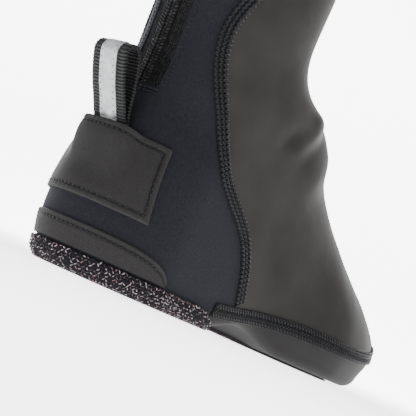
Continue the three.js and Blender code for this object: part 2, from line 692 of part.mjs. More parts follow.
const webbingLine = loopLine();
const wholeLine = [0, webbingLine.length - 1];
const pullLoop = () => strap(webbingLine, wholeLine, WEBBING_WIDTH, -WEBBING / 2, WEBBING / 2);
function reflectiveStrip() {
  const low = WEBBING / 2 + CLEARANCE;
  return strap(webbingLine, [8, webbingLine.length - 3], REFLECTIVE_WIDTH, low, low + REFLECTIVE);
}

// The zip: two tapes and a coil down the middle, set into the window of the upper
function rearZip() {
  const half = ZIP_HALF - CLEARANCE;
  const beside = COIL_HALF + ZIP_TAPE / 2;
  const across = [-half, -beside, -COIL_HALF, 0, COIL_HALF, beside, half];
  const rise = [0, 0, COIL_RISE, COIL_RISE, COIL_RISE, 0, 0];
  const tapeTop = -WALL / 2 + ZIP_TAPE / 2;
  const steps = 16;
  const [low, high] = [backLevel(ZIP_BOTTOM + CLEARANCE), LAST_RING - STEP];
  return sheet(steps, across.length - 1, (u, v, layer) => {
    const level = low + (high - low) * u;
    const j = Math.round(v * (across.length - 1));
    const off = layer ? tapeTop + rise[j] : tapeTop - ZIP_TAPE;
    return surface(level, turnAlong(level, across[j]), off);
  });
}

// The slider and its pull are made in the slider's own frame: x across, y up the zip, z away from the shoe.
const ZIP_FACE = -WALL / 2 + ZIP_TAPE / 2 + COIL_RISE; // the coil's face, off the form
function sliderFrame() {
  const z = heightOf(RINGS[LAST_RING].backZ) - SLIDER_BELOW_COLLAR;
  const [low, high] = [z - SLIDER_LENGTH / 2, z + SLIDER_LENGTH / 2].map((h) => vec(0, backLine(h), h));
  const up = high.clone().sub(low).normalize();
  const away = vec(0, -up.z, up.y);
  const seat = low.lerp(high, 0.5).addScaledVector(away, ZIP_FACE + CLEARANCE);
  return { up, away, seat };
}
const EYE_WALL = 1;
const EYE_RADIUS = PIN_RADIUS + CLEARANCE + EYE_WALL;
const PIN_HEIGHT = SLIDER_THICKNESS + EYE_RADIUS + CLEARANCE;
const EAR_THICKNESS = 1.1;
const EAR_SINK = 0.4; // how far the ears go into the slider's body

function onSlider(geometry) {
  const { up, away, seat } = sliderFrame();
  return geometry.applyMatrix4(new THREE.Matrix4().makeBasis(vec(1, 0, 0), up, away).setPosition(seat));
}

const roundOutline = (y, z, radius, steps, share = 1) =>
  Array.from({ length: steps }, (_, i) => {
    const turn = (2 * Math.PI * share * i) / (share < 1 ? steps - 1 : steps);
    return [y + radius * Math.cos(turn), z + radius * Math.sin(turn)];
  });
// A plan outline from its right half, given as pairs of shares of half its width and of its length
const mirrored = (rows, halfWidth, length) => {
  const right = rows.map(([x, y]) => [x * halfWidth, y * length]);
  return [...right, ...right.toReversed().map(([x, y]) => [-x, y])];
};
const SLIDER_PLAN = [[0.62, -0.5], [0.8, 0], [1, 0.35], [0.6, 0.5]];
const PULL_PLAN = [[0.68, -1], [1, -0.92], [1, -0.46], [0.45, -0.25], [0.56, 0]];
const PULL_TIP = 1.8; // the tip's width against the width at the pin
const EYE_STEPS = 16;

function zipSlider() {
  let body = solid(planPrism(mirrored(SLIDER_PLAN, SLIDER_WIDTH / 2, SLIDER_LENGTH), 0, SLIDER_THICKNESS));
  const gap = PULL_WIDTH / 2 + CLEARANCE;
  const foot = SLIDER_THICKNESS - EAR_SINK;
  const top = roundOutline(0, PIN_HEIGHT, EYE_RADIUS, EYE_STEPS / 2, 0.5);
  const ear = [[-EYE_RADIUS, foot], [EYE_RADIUS, foot], ...top];
  for (const side of [-1, 1]) {
    const [a, b] = [side * gap, side * (gap + EAR_THICKNESS)].sort((p, q) => p - q);
    body = body.add(solid(sidePrism(ear, a, b)));
  }
  const pin = roundOutline(0, PIN_HEIGHT, PIN_RADIUS, EYE_STEPS);
  const reach = gap + EAR_THICKNESS / 2;
  return onSlider(geometryOf(body.add(solid(sidePrism(pin, -reach, reach)))));
}

// The pull hangs plumb from the pin, whatever the slope of the zip.
function zipPull() {
  const eye = solid(sidePrism(roundOutline(0, 0, EYE_RADIUS, EYE_STEPS), -PULL_WIDTH / 2, PULL_WIDTH / 2));
  const plan = mirrored(PULL_PLAN, (PULL_WIDTH * PULL_TIP) / 2, PULL_LENGTH);
  const blade = solid(planPrism(plan, -PULL_THICKNESS / 2, PULL_THICKNESS / 2));
  const hole = roundOutline(0, 0, PIN_RADIUS + CLEARANCE, EYE_STEPS);
  const bore = solid(sidePrism(hole, -PULL_WIDTH, PULL_WIDTH));
  const geometry = geometryOf(eye.add(blade).subtract(bore));
  const { up, away, seat } = sliderFrame();
  const pin = seat.clone().addScaledVector(away, PIN_HEIGHT);
  const plumb = new THREE.Matrix4().makeBasis(vec(1, 0, 0), vec(0, 0, 1), vec(0, -1, 0)).setPosition(pin);
  return geometry.applyMatrix4(plumb);
}

// Colours and finishes
const finishes = {
  neoprene: { color: 0x24262e, roughness: 0.8 },
  rubberised: { color: 0x3c3c3a, roughness: 0.62 },
  binding: { color: 0x3a3738, roughness: 0.95 },
  thread: { color: 0x121216, roughness: 0.75 },
  webbing: { color: 0x1c1c1c, roughness: 0.85 },
  reflective: { color: 0xc9c9c8, roughness: 0.35 },
  tape: { color: 0x2c2c2c, roughness: 0.85 },
  slider: { color: 0x242426, roughness: 0.4, metalness: 0.7 },
};

const part = new THREE.Group();
function place(name, geometry, finish) {
  geometry.computeVertexNormals();
  const mesh = new THREE.Mesh(geometry, new THREE.MeshStandardMaterial(finishes[finish]));
  mesh.name = name;
  part.add(mesh);
}

// A piece that lies on the wall is cut clear of the wall's facets.
const cleared = (geometry) => {
  const bodies = solid(geometry).subtract(clearedWall).decompose();
  return geometryOf(bodies.reduce((a, b) => (b.volume() > a.volume() ? b : a)));
};

place("upper", upper(), "neoprene");
place("sole_panel", solePanel(), "rubberised");
place("heel_binding", cleared(heelBinding()), "binding");
place("cleat_binding", cleared(cleatBinding()), "binding");
place("heel_counter", cleared(heelCounter()), "rubberised");
place("heel_patch", cleared(heelPatch()), "rubberised");
place("side_seam_outer", cleared(sideSeam(1)), "thread");
place("side_seam_inner", cleared(sideSeam(-1)), "thread");
place("sole_seam", cleared(seamRibbon(soleSeamPath())), "thread");
place("front_seam", cleared(frontSeam()), "thread");
place("pull_loop", pullLoop(), "webbing");
place("reflective_strip", reflectiveStrip(), "reflective");
place("rear_zip", rearZip(), "tape");
place("zip_slider", zipSlider(), "slider");
place("zip_pull", zipPull(), "slider");

// The part's own origin is under the middle of its bounding box.
const box = new THREE.Box3().setFromObject(part);
const middle = box.getCenter(vec(0, 0, 0));
part.position.set(-middle.x, -middle.y, -box.min.z);

export default part;
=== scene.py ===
"""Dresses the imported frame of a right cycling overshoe: panels, seams, bindings, patch, loop and zip."""
import math

import bpy
import numpy as np
from mathutils import Matrix, Vector


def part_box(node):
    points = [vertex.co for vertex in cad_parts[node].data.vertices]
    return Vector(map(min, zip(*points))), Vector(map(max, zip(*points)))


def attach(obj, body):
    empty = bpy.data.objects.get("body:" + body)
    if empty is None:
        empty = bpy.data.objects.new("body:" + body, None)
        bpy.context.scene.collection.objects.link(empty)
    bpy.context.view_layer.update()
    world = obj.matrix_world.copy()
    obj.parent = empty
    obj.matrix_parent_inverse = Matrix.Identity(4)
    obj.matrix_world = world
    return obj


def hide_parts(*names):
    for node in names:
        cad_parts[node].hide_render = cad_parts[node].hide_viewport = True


bl_info = {
    "name": "Cycling overshoe",
    "version": (1, 0, 0),
    "blender": (4, 5, 0),
    "location": "3D View > Sidebar > Overshoe",
    "description": "Builds the sewn pieces and finishes of a cycling overshoe on its packed frame",
    "category": "Object",
}

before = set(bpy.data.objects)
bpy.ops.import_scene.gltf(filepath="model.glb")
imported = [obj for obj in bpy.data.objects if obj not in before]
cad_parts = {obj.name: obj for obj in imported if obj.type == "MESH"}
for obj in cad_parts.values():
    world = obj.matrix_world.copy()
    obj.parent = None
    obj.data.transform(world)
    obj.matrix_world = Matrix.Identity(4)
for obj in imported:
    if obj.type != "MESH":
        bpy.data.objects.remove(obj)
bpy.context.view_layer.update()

MM = 0.001
BODY = "boot"

# The form, as in the part's source: millimetres, and shares of these sizes
LENGTH = 290.0
HEIGHT = 228.0
HEEL_WIDTH = 74.0
BALL_WIDTH = 104.0
TOE_SWING = 12.0
ARCH_RISE = 7.0
ARCH_INSET = 5.0
TOE_SPRING = 15.0
ARCH_FROM, ARCH_RUN = 0.285, 0.25  # shares of LENGTH, as the five below
TOE_FROM, TOE_RUN = 0.775, 0.225
SWING_FROM, SWING_RUN = 0.3, 0.7
INSET_FROM, INSET_RUN = 0.24, 0.4
WALL = 3.0
EDGE_RADIUS = 6.0
CLEARANCE = 0.3
BINDING = 1.9
BINDING_OUTSIDE = 14.0
BINDING_INSIDE = 8.0
BINDING_SOLE = 9.0
HEEL_LIP = 8.5
HEEL_OPENING_END = 84.0
OPENING_CORNER = 14.0
CLEAT_OPENING_START = 153.0
CLEAT_OPENING_LENGTH = 80.0
CLEAT_OPENING_WIDTH = 60.0
PATCH_BOTTOM, PATCH_TOP = 32.0, 66.0
PATCH_HALF_BOTTOM, PATCH_HALF_TOP = 38.0, 31.0
PATCH_THICKNESS = 1.4
COUNTER_TOP, COUNTER_HALF, COUNTER_THICKNESS = 22.0, 58.0, 1.1
COUNTER_LOW, COUNTER_RISE = 9.0, 11.0  # its lower edge above BOTTOM, and its height
COUNTER_INSET = 2.6  # its stitch line, from its top edge
SEAM_WIDTH = 6.6
WEBBING_WIDTH, WEBBING = 20.0, 1.6
LOOP_HEIGHT, LOOP_LEAN, LOOP_GAP, LOOP_TUCK = 34.0, 27.0, 6.2, 8.0
REFLECTIVE_WIDTH, REFLECTIVE_STITCHES = 10.0, 0.36  # its stitch lines, as a share of the width
ZIP_BOTTOM, ZIP_HALF = 90.0, 10.0
BOTTOM = BINDING + CLEARANCE
EDGE_TOP = BOTTOM + EDGE_RADIUS

# Rings from the bottom edge to the collar: back y and z, front y and z (z above the edge), width shares at
# heel, waist and ball, how far each end takes to round off, and how much the ring follows the arch and toe
RINGS = np.array([
    (0.012, 0, 0.986, 0, 0.93, 0.91, 0.955, 0.15, 0.33, 1),
    (0.003, 0.0509, 1, 0.0457, 0.985, 0.97, 1, 0.15, 0.33, 1),
    (0, 0.1027, 0.993, 0.0924, 1, 1, 0.985, 0.148, 0.33, 0.85),
    (0.002, 0.1515, 0.962, 0.137, 0.995, 1, 0.945, 0.146, 0.34, 0.6),
    (0.0065, 0.1982, 0.9, 0.1857, 0.985, 0.995, 0.885, 0.146, 0.34, 0.4),
    (0.013, 0.2397, 0.822, 0.2345, 0.965, 0.985, 0.81, 0.148, 0.33, 0.25),
    (0.02, 0.277, 0.737, 0.2863, 0.945, 0.975, 0.74, 0.15, 0.32, 0.1),
    (0.026, 0.3102, 0.66, 0.334, 0.925, 0.97, 0.7, 0.153, 0.3, 0),
    (0.0305, 0.3392, 0.6, 0.3818, 0.91, 0.965, 0.68, 0.156, 0.28, 0),
    (0.0335, 0.3662, 0.558, 0.4357, 0.9, 0.96, 0.67, 0.158, 0.26, 0),
    (0.035, 0.3901, 0.527, 0.4896, 0.89, 0.955, 0.66, 0.16, 0.25, 0),
    (0.0355, 0.4129, 0.486, 0.5291, 0.885, 0.95, 0.65, 0.162, 0.235, 0),
    (0.035, 0.4367, 0.433, 0.5477, 0.88, 0.945, 0.64, 0.164, 0.215, 0),
    (0.0335, 0.4647, 0.388, 0.5643, 0.875, 0.93, 0.63, 0.166, 0.19, 0),
    (0.0305, 0.5021, 0.361, 0.6006, 0.87, 0.915, 0.62, 0.166, 0.17, 0),
    (0.026, 0.554, 0.35, 0.6556, 0.865, 0.9, 0.61, 0.163, 0.16, 0),
    (0.015, 0.6432, 0.345, 0.7386, 0.865, 0.89, 0.6, 0.165, 0.163, 0),
    (-0.001, 0.7822, 0.347, 0.8527, 0.875, 0.89, 0.6, 0.172, 0.172, 0),
    (-0.02, 0.9772, 0.355, 1, 0.91, 0.91, 0.6, 0.185, 0.185, 0),
])
BACK_Y, BACK_Z, FRONT_Y, FRONT_Z, HEEL, WAIST, BALL, BACK_CAP, FRONT_CAP, BOW = range(10)
LAST_RING = len(RINGS) - 1
HEEL_AT, WAIST_AT, BALL_AT = 0.12, 0.40, 0.69
BACK_ROUND, FRONT_ROUND = 2.05, 2.15


def height_of(share):
    return EDGE_TOP + share * (HEIGHT - EDGE_TOP)


def on_side(rows):
    """Pairs of shares of LENGTH and of the height above the bottom edge, in millimetres."""
    rows = np.array(rows)
    return np.stack([rows[:, 0] * LENGTH, height_of(rows[:, 1])], -1)


SIDE_SEAM = on_side([
    (0.343, 0.0478), (0.326, 0.0809), (0.309, 0.1204), (0.291, 0.1556), (0.267, 0.1878),
    (0.236, 0.2148), (0.198, 0.2448), (0.163, 0.2801), (0.126, 0.3631), (0.093, 0.4544),
    (0.079, 0.5405), (0.09, 0.6266), (0.118, 0.7251), (0.153, 0.8444), (0.186, 0.9772),
])
SOLE_SEAM = on_side([
    (0.275, 0.0135), (0.35, 0.0249), (0.44, 0.0415), (0.54, 0.054), (0.69, 0.0581), (0.84, 0.0716),
    (0.93, 0.0955), (1.01, 0.1204),
])

# Soft folds that the wall has taken: start and end as (y, z) seen from the side, side (1 outer, -1 inner, 0
# both), width and height in millimetres; a height under nought is a trough
FOLDS = [
    ((100, 112), (78, 96), 1, 5.0, -1.6),
    ((114, 122), (92, 104), 1, 6.0, 1.8),
    ((126, 118), (96, 90), 1, 6.5, -1.5),
    ((140, 108), (112, 84), 1, 7.0, 1.2),
    ((104, 128), (62, 122), 1, 7.0, 1.0),
    ((150, 96), (120, 66), 1, 10.0, -0.9),
    ((128, 70), (150, 30), 1, 12.0, 1.0),
    ((100, 60), (122, 26), 1, 9.0, -0.7),
    ((102, 114), (74, 98), -1, 6.0, -1.6),
    ((116, 121), (84, 108), -1, 6.5, 1.6),
    ((128, 116), (98, 88), -1, 7.0, -1.4),
    ((176, 90), (150, 44), -1, 12.0, 0.9),
    ((190, 60), (222, 44), 0, 14.0, -0.7),
    ((14, 84), (44, 74), 0, 9.0, -0.8),
    ((12, 98), (60, 104), 0, 12.0, 0.8),
    ((100, 150), (60, 138), 0, 9.0, -0.7),
    ((100, 176), (50, 168), 0, 12.0, 0.6),
]


def smooth(v):
    return v * v * (3 - 2 * v)


def between(rows, at):
    """Rows of a table at fractional places, on a smooth curve through them."""
    at = np.asarray(at, float)
    i = np.clip(np.floor(at).astype(int), 0, len(rows) - 2)
    s = (at - i)[..., None]
    a, b = rows[i], rows[i + 1]
    before = np.where((i > 0)[..., None], (b - rows[np.maximum(i - 1, 0)]) / 2, b - a)
    after = np.where((i < len(rows) - 2)[..., None], (rows[np.minimum(i + 2, len(rows) - 1)] - a) / 2, b - a)
    s2, s3 = s * s, s * s * s
    return a * (2 * s3 - 3 * s2 + 1) + before * (s3 - 2 * s2 + s) + b * (3 * s2 - 2 * s3) + after * (s3 - s2)


def underside(y):
    s = y / LENGTH
    arch = np.clip((s - ARCH_FROM) / ARCH_RUN, 0, 1)
    toe = np.maximum(0, (s - TOE_FROM) / TOE_RUN)
    return ARCH_RISE * np.sin(np.pi * arch) ** 2 + TOE_SPRING * toe * toe


def middle_line(y):
    return -TOE_SWING * np.maximum(0, y / LENGTH - SWING_FROM) ** 2 / SWING_RUN ** 2


def breadth(ring, y, side):
    s = y / LENGTH
    heel, waist = ring[..., HEEL] * HEEL_WIDTH, ring[..., WAIST] * HEEL_WIDTH
    ball = ring[..., BALL] * BALL_WIDTH
    front = smooth(np.clip((s - WAIST_AT) / (BALL_AT - WAIST_AT), 0, 1))
    back = smooth(np.clip((s - HEEL_AT) / (WAIST_AT - HEEL_AT), 0, 1))
    full = (heel + (waist - heel) * back + (ball - waist) * front) / 2
    inset = np.sin(np.pi * np.clip((s - INSET_FROM) / INSET_RUN, 0, 1)) ** 2
    return np.where(side < 0, full - ARCH_INSET * ring[..., BOW] * inset, full)


def ring_point(ring, turn):
    side = np.where(np.sin(turn) < 0, -1.0, 1.0)
    along = (1 - np.cos(turn)) / 2
    length = (ring[..., FRONT_Y] - ring[..., BACK_Y]) * LENGTH
    y = ring[..., BACK_Y] * LENGTH + along * length
    from_back = np.clip(along * length / (ring[..., BACK_CAP] * LENGTH), 0, 1)
    from_front = np.clip((1 - along) * length / (ring[..., FRONT_CAP] * LENGTH), 0, 1)
    cap = (1 - (1 - from_back) ** BACK_ROUND) ** (1 / BACK_ROUND)
    cap = cap * (1 - (1 - from_front) ** FRONT_ROUND) ** (1 / FRONT_ROUND)
    x = middle_line(y) + side * cap * breadth(ring, y, side)
    z = height_of(ring[..., BACK_Z] + along * (ring[..., FRONT_Z] - ring[..., BACK_Z]))
    return np.stack([x, y, z + ring[..., BOW] * underside(y)], -1)


STEP = 1e-3


def unit(v):
    return v / np.maximum(np.linalg.norm(v, axis=-1, keepdims=True), 1e-12)


def outline_normal(turn):
    d = ring_point(RINGS[0], turn + STEP) - ring_point(RINGS[0], turn - STEP)
    return unit(np.stack([d[..., 1], -d[..., 0], np.zeros_like(d[..., 0])], -1))


def form_point(level, turn):
    """The form's outside. level is -1 to 0 round the bottom edge, then one per ring."""
    level, turn = np.broadcast_arrays(np.asarray(level, float), np.asarray(turn, float))
    high = ring_point(between(RINGS, np.clip(level, 0, LAST_RING)), turn)
    lean = np.clip(1 + level, 0, 1) * (np.pi / 2)
    low = ring_point(np.broadcast_to(RINGS[0], (*turn.shape, RINGS.shape[1])), turn)
    low = low - outline_normal(turn) * (EDGE_RADIUS * (1 - np.sin(lean)))[..., None]
    low[..., 2] = BOTTOM + underside(low[..., 1]) + EDGE_RADIUS * (1 - np.cos(lean))
    return np.where((level >= 0)[..., None], high, low)


def form_normal(level, turn):
    level, turn = np.broadcast_arrays(np.asarray(level, float), np.asarray(turn, float))
    step = np.where(level + STEP > LAST_RING, -STEP, STEP)
    up = (form_point(level + step, turn) - form_point(level, turn)) * np.sign(step)[..., None]
    around = form_point(level, turn + STEP) - form_point(level, turn - STEP)
    return unit(np.cross(around, up))


def fold_height(point, normal):
    """How far the listed folds lift the wall at a point."""
    total = np.zeros(point.shape[:-1])
    for start, end, side, width, height in FOLDS:
        a, b = np.array(start, float), np.array(end, float)
        d = b - a
        yz = point[..., 1:] - a
        share = (yz @ d) / (d @ d)
        off = np.linalg.norm(yz - np.clip(share, 0, 1)[..., None] * d, axis=-1)
        fade = np.clip(1.25 - np.abs(share - 0.35) * 1.5, 0, 1)
        facing = 1.0 if side == 0 else np.clip(normal[..., 0] * side * 1.6 + 0.55, 0, 1)
        total = total + height * np.exp(-((off / width) ** 2)) * smooth(fade) * facing
    return total


def surface(level, turn, out=0.0, folded=True):
    """Points that stand out from the wall, folds included, and their normals."""
    point, normal = form_point(level, turn), form_normal(level, turn)
    lift = fold_height(point, normal) if folded else 0.0
    return point + normal * np.asarray(out + lift)[..., None], normal


def bisect(below, shape, high=LAST_RING):
    low, high = np.zeros(shape), np.full(shape, float(high))
    for _ in range(32):
        middle = (low + high) / 2
        up = below(middle)
        low, high = np.where(up, middle, low), np.where(up, high, middle)
    return low


def level_at(y, z):
    y, z = np.broadcast_arrays(np.asarray(y, float), np.asarray(z, float))

    def below(level):
        ring = between(RINGS, level)
        along = np.clip((y / LENGTH - ring[..., BACK_Y]) / (ring[..., FRONT_Y] - ring[..., BACK_Y]), 0, 1)
        height = height_of(ring[..., BACK_Z] + along * (ring[..., FRONT_Z] - ring[..., BACK_Z]))
        return height + ring[..., BOW] * underside(y) < z

    return bisect(below, y.shape)


def turn_at(level, y, side):
    ring = between(RINGS, np.maximum(level, 0))
    along = np.clip((y / LENGTH - ring[..., BACK_Y]) / (ring[..., FRONT_Y] - ring[..., BACK_Y]), 0, 1)
    turn = np.arccos(1 - 2 * along)
    return turn if side > 0 else 2 * np.pi - turn


def back_line(z):
    z = np.asarray(z, float)
    level = bisect(lambda at: height_of(between(RINGS, at)[..., BACK_Z]) < z, z.shape)
    return between(RINGS, level)[..., BACK_Y] * LENGTH


def back_level(z):
    return level_at(back_line(z), z)


TURNS = np.linspace(0, 2 * np.pi, 1441)


def gone_along(points):
    """Distance walked along a line of points, at each of them."""
    return np.concatenate([[0], np.cumsum(np.linalg.norm(np.diff(points, axis=0), axis=1))])


def lengths_round(level):
    """Distance along a ring from the middle of the back, at each of TURNS."""
    return gone_along(form_point(np.full(TURNS.shape, max(float(level), 0)), TURNS))


def turns_grid(levels, distances):
    """Turns for each level at a row of distances from the middle of the back."""
    rows = []
    for level in levels:
        lengths = lengths_round(level)
        turns = np.interp(np.abs(distances), lengths, TURNS)
        rows.append(np.copysign(turns, distances))
    return np.array(rows)


def sole_seam_height(y):
    path = between(SOLE_SEAM, np.linspace(0, len(SOLE_SEAM) - 1, 200))
    return np.interp(y, path[:, 0], path[:, 1])


def side_seam_place(z):
    path = between(SIDE_SEAM, np.linspace(0, len(SIDE_SEAM) - 1, 300))
    return np.interp(z, path[:, 1], path[:, 0])


# The row frame's shift: the toe and the middle of the loop are known in both
loop_low, loop_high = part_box("pull_loop")
SHIFT = np.array([(loop_low.x + loop_high.x) / 2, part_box("sole_panel")[1].y - LENGTH * MM, 0.0]) / MM


def linear(hex_colour):
    """An sRGB hex colour as linear red, green, blue and alpha."""
    values = [int(hex_colour[i:i + 2], 16) / 255 for i in (1, 3, 5)]
    return (*[v / 12.92 if v <= 0.04045 else ((v + 0.055) / 1.055) ** 2.4 for v in values], 1.0)


class OvershoeSettings(bpy.types.PropertyGroup):
    """Sizes and colours that a user would change."""

    stitch_pitch: bpy.props.FloatProperty(
        name="Stitch pitch", description="Length of one stitch with its gap, on the patch and counter",
        default=0.0027, min=0.001, max=0.01, unit="LENGTH")
    rib_pitch: bpy.props.FloatProperty(
        name="Webbing rib", description="Distance between the ribs of the webbing",
        default=0.00145, min=0.0005, max=0.005, unit="LENGTH")
    coil_pitch: bpy.props.FloatProperty(
        name="Coil pitch", description="Distance between the turns of the zip's coil",
        default=0.0015, min=0.0005, max=0.005, unit="LENGTH")
    knit_colour: bpy.props.FloatVectorProperty(
        name="Rear panel", description="Knit face of the rear panel", subtype="COLOR", size=4,
        default=linear("#18191e"), min=0, max=1)
    coating_colour: bpy.props.FloatVectorProperty(
        name="Side panel", description="Smooth coating of the side and front panel", subtype="COLOR", size=4,
        default=linear("#2b2a29"), min=0, max=1)
    rubberised_colour: bpy.props.FloatVectorProperty(
        name="Rubberised fabric", description="Sole panel, heel patch and heel counter", subtype="COLOR",
        size=4, default=linear("#262525"), min=0, max=1)


def settings():
    return bpy.context.scene.overshoe


PLAIN_CROWN = 0.5


# Mesh helpers. Points are millimetres on the form, and become metres in the row frame here.
def add_piece(name, points, faces, looks, stands_for=(), face_looks=None, crown=None):
    """Adds a mesh. crown is 0 in its hollows and 1 on its ridges and rubbed edges, and tints its finish:
    painted shade in the hollows, painted highlight on the ridges and edges, where it also stands for wear.
    """
    mesh = bpy.data.meshes.new(name)
    points = np.asarray(points, float).reshape(-1, 3)
    faces = np.asarray(faces, np.int32)
    used = np.zeros(len(points), bool)
    used[faces] = True
    place = np.cumsum(used) - 1
    faces = place[faces]
    mesh.vertices.add(int(used.sum()))
    mesh.vertices.foreach_set("co", ((points[used] + SHIFT) * MM).astype(np.float32).ravel())
    mesh.loops.add(faces.size)
    mesh.loops.foreach_set("vertex_index", faces.ravel().astype(np.int32))
    mesh.polygons.add(len(faces))
    mesh.polygons.foreach_set("loop_start", np.arange(0, faces.size, faces.shape[1], dtype=np.int32))
    mesh.update(calc_edges=True)
    mesh.polygons.foreach_set("use_smooth", np.ones(len(faces), bool))
    tint = np.full(len(used), PLAIN_CROWN) if crown is None else np.asarray(crown, float).ravel()
    layer = mesh.attributes.new("crown", "FLOAT", "POINT")
    layer.data.foreach_set("value", np.clip(tint[used], 0, 1).astype(np.float32))
    for look in looks:
        mesh.materials.append(look)
    if face_looks is not None:
        mesh.polygons.foreach_set("material_index", np.asarray(face_looks, np.int32))
    piece = bpy.data.objects.new(name, mesh)
    bpy.context.scene.collection.objects.link(piece)
    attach(piece, BODY)
    if stands_for:
        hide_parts(*stands_for)


def grid_faces(rows, columns, wrap=False, flip=False, start=0):
    i, j = np.meshgrid(np.arange(rows - 1), np.arange(columns if wrap else columns - 1), indexing="ij")
    k = (j + 1) % columns
    quads = np.stack([i * columns + j, i * columns + k, (i + 1) * columns + k, (i + 1) * columns + j], -1)
    quads = quads.reshape(-1, 4) + start
    return quads[:, ::-1] if flip else quads


def slab(outer, inner):
    """Points and faces of a sheet with an outer and an inner grid, closed round its edge."""
    rows, columns = outer.shape[:2]
    size = rows * columns
    ids = np.arange(size).reshape(rows, columns)
    rim = np.concatenate([ids[0, :-1], ids[:-1, -1], ids[-1, :0:-1], ids[:0:-1, 0]])
    after = np.roll(rim, -1)
    edge = np.stack([rim, rim + size, after + size, after], -1)
    sides = grid_faces(rows, columns), grid_faces(rows, columns, flip=True, start=size)
    faces = np.concatenate([*sides, edge])
    return np.concatenate([outer.reshape(-1, 3), inner.reshape(-1, 3)]), faces


def rounded(share, edge):
    """0 at a sheet's border rising to 1 at edge, as a quarter round."""
    u = np.clip(share / edge, 0, 1)
    return np.sqrt(1 - (1 - u) ** 2)


THREAD_SIDES = 5
THREAD_STEPS = 4
tone = np.random.default_rng(11)


def threads(places, along, normals, length, radius, arch):
    """Short arched threads lying on a surface, as one mesh. Each entry may have its own length."""
    count = len(places)
    side = unit(np.cross(along, normals))
    t = np.linspace(-0.5, 0.5, THREAD_STEPS + 1)
    turn = np.arange(THREAD_SIDES) * 2 * np.pi / THREAD_SIDES
    length = np.broadcast_to(length, count)
    radius = np.broadcast_to(radius, count)
    lift = arch * (np.cos(np.pi * t) - 0.25)
    taper = np.sqrt(np.maximum(0.12, 1 - (2 * t) ** 2 * 0.9))
    centre = places[:, None] + along[:, None] * (length[:, None] * t)[..., None]
    centre = centre + normals[:, None] * lift[None, :, None]
    ring = (
        np.cos(turn)[None, None, :, None] * normals[:, None, None]
        + np.sin(turn)[None, None, :, None] * side[:, None, None]
    )
    points = centre[:, :, None] + ring * (radius[:, None] * taper)[:, :, None, None]
    quads = grid_faces(THREAD_STEPS + 1, THREAD_SIDES, wrap=True)
    size = (THREAD_STEPS + 1) * THREAD_SIDES
    faces = (np.arange(count) * size)[:, None, None] + quads[None]
    # Each thread has its own random tone; the crown also paints a highlight along its top and shade on its
    # underside and at its ends, where it dives into the cloth.
    each = tone.uniform(0.35, 1.0, count)[:, None, None]
    crown = each * (0.5 + 0.5 * np.cos(turn))[None, None] * (0.35 + 0.65 * np.cos(np.pi * t))[None, :, None]
    return points.reshape(-1, 3), faces.reshape(-1, 4), crown.ravel()


def along_path(points, pitch, start=0.0):
    """Fractional places along a polyline at an even pitch."""
    gone = gone_along(points)
    stops = np.arange(start + pitch / 2, gone[-1], pitch)
    return np.interp(stops, gone, np.arange(len(points)))


def sample(rows, at):
    i = np.clip(np.floor(at).astype(int), 0, len(rows) - 2)
    s = (at - i).reshape(-1, *([1] * (rows.ndim - 1)))
    return rows[i] * (1 - s) + rows[i + 1] * s


def joined(*meshes):
    """Several (points, faces, crown) as one, with the number of faces of each. A crown may be left out."""
    points, faces, counts, crowns, start = [], [], [], [], 0
    for p, f, *crown in meshes:
        points.append(np.asarray(p).reshape(-1, 3))
        faces.append(np.asarray(f) + start)
        counts.append(len(f))
        crowns.append(np.asarray(crown[0], float).ravel() if crown else np.full(len(points[-1]), PLAIN_CROWN))
        start += len(points[-1])
    return np.concatenate(points), np.concatenate(faces), counts, np.concatenate(crowns)


# Materials
def node(tree, kind, inputs=None, **values):
    """Adds a node with its settings, and links or sets its inputs."""
    made = tree.nodes.new(kind)
    for key, value in values.items():
        setattr(made, key, value)
    for key, value in (inputs or {}).items():
        if isinstance(value, bpy.types.NodeSocket):
            tree.links.new(value, made.inputs[key])
        else:
            made.inputs[key].default_value = value
    return made


def finish_of(name, **sockets):
    material = bpy.data.materials.new(name)
    material.use_nodes = True
    shader = material.node_tree.nodes["Principled BSDF"]
    for key, value in sockets.items():
        shader.inputs[key.replace("_", " ")].default_value = value
    return material, material.node_tree, shader


def spots(tree, pitch_mm, detail=2.0, rough=0.6):
    """Noise whose grains are a pitch in millimetres across."""
    place = node(tree, "ShaderNodeTexCoord").outputs["Object"]
    return node(tree, "ShaderNodeTexNoise", {
        "Vector": place, "Scale": 1 / (pitch_mm * MM), "Detail": detail, "Roughness": rough,
    }).outputs["Fac"]


def crown_and(tree, value, share):
    """Mixes the mesh's crown, its painted shade and painted highlight, with a pattern, of which it keeps a
    share.
    """
    crown = node(tree, "ShaderNodeAttribute", attribute_name="crown").outputs["Fac"]
    return node(tree, "ShaderNodeMix", {"Factor": share, "A": crown, "B": value}).outputs["Result"]


def tinted(tree, shader, value, low, high, stops=(0.3, 0.7)):
    ramp = node(tree, "ShaderNodeValToRGB", {"Fac": value})
    ramp.color_ramp.elements[0].position, ramp.color_ramp.elements[1].position = stops
    ramp.color_ramp.elements[0].color, ramp.color_ramp.elements[1].color = low, high
    tree.links.new(ramp.outputs["Color"], shader.inputs["Base Color"])


def relief(tree, shader, *layers):
    """Bump from layers of (height, depth in millimetres, strength)."""
    normal = None
    for height, depth_mm, strength in layers:
        inputs = {"Height": height, "Distance": depth_mm * MM, "Strength": strength}
        if normal:
            inputs["Normal"] = normal
        normal = node(tree, "ShaderNodeBump", inputs).outputs["Normal"]
    tree.links.new(normal, shader.inputs["Normal"])


def shade(colour, factor):
    return (*[min(1.0, c * factor) for c in colour[:3]], 1.0)


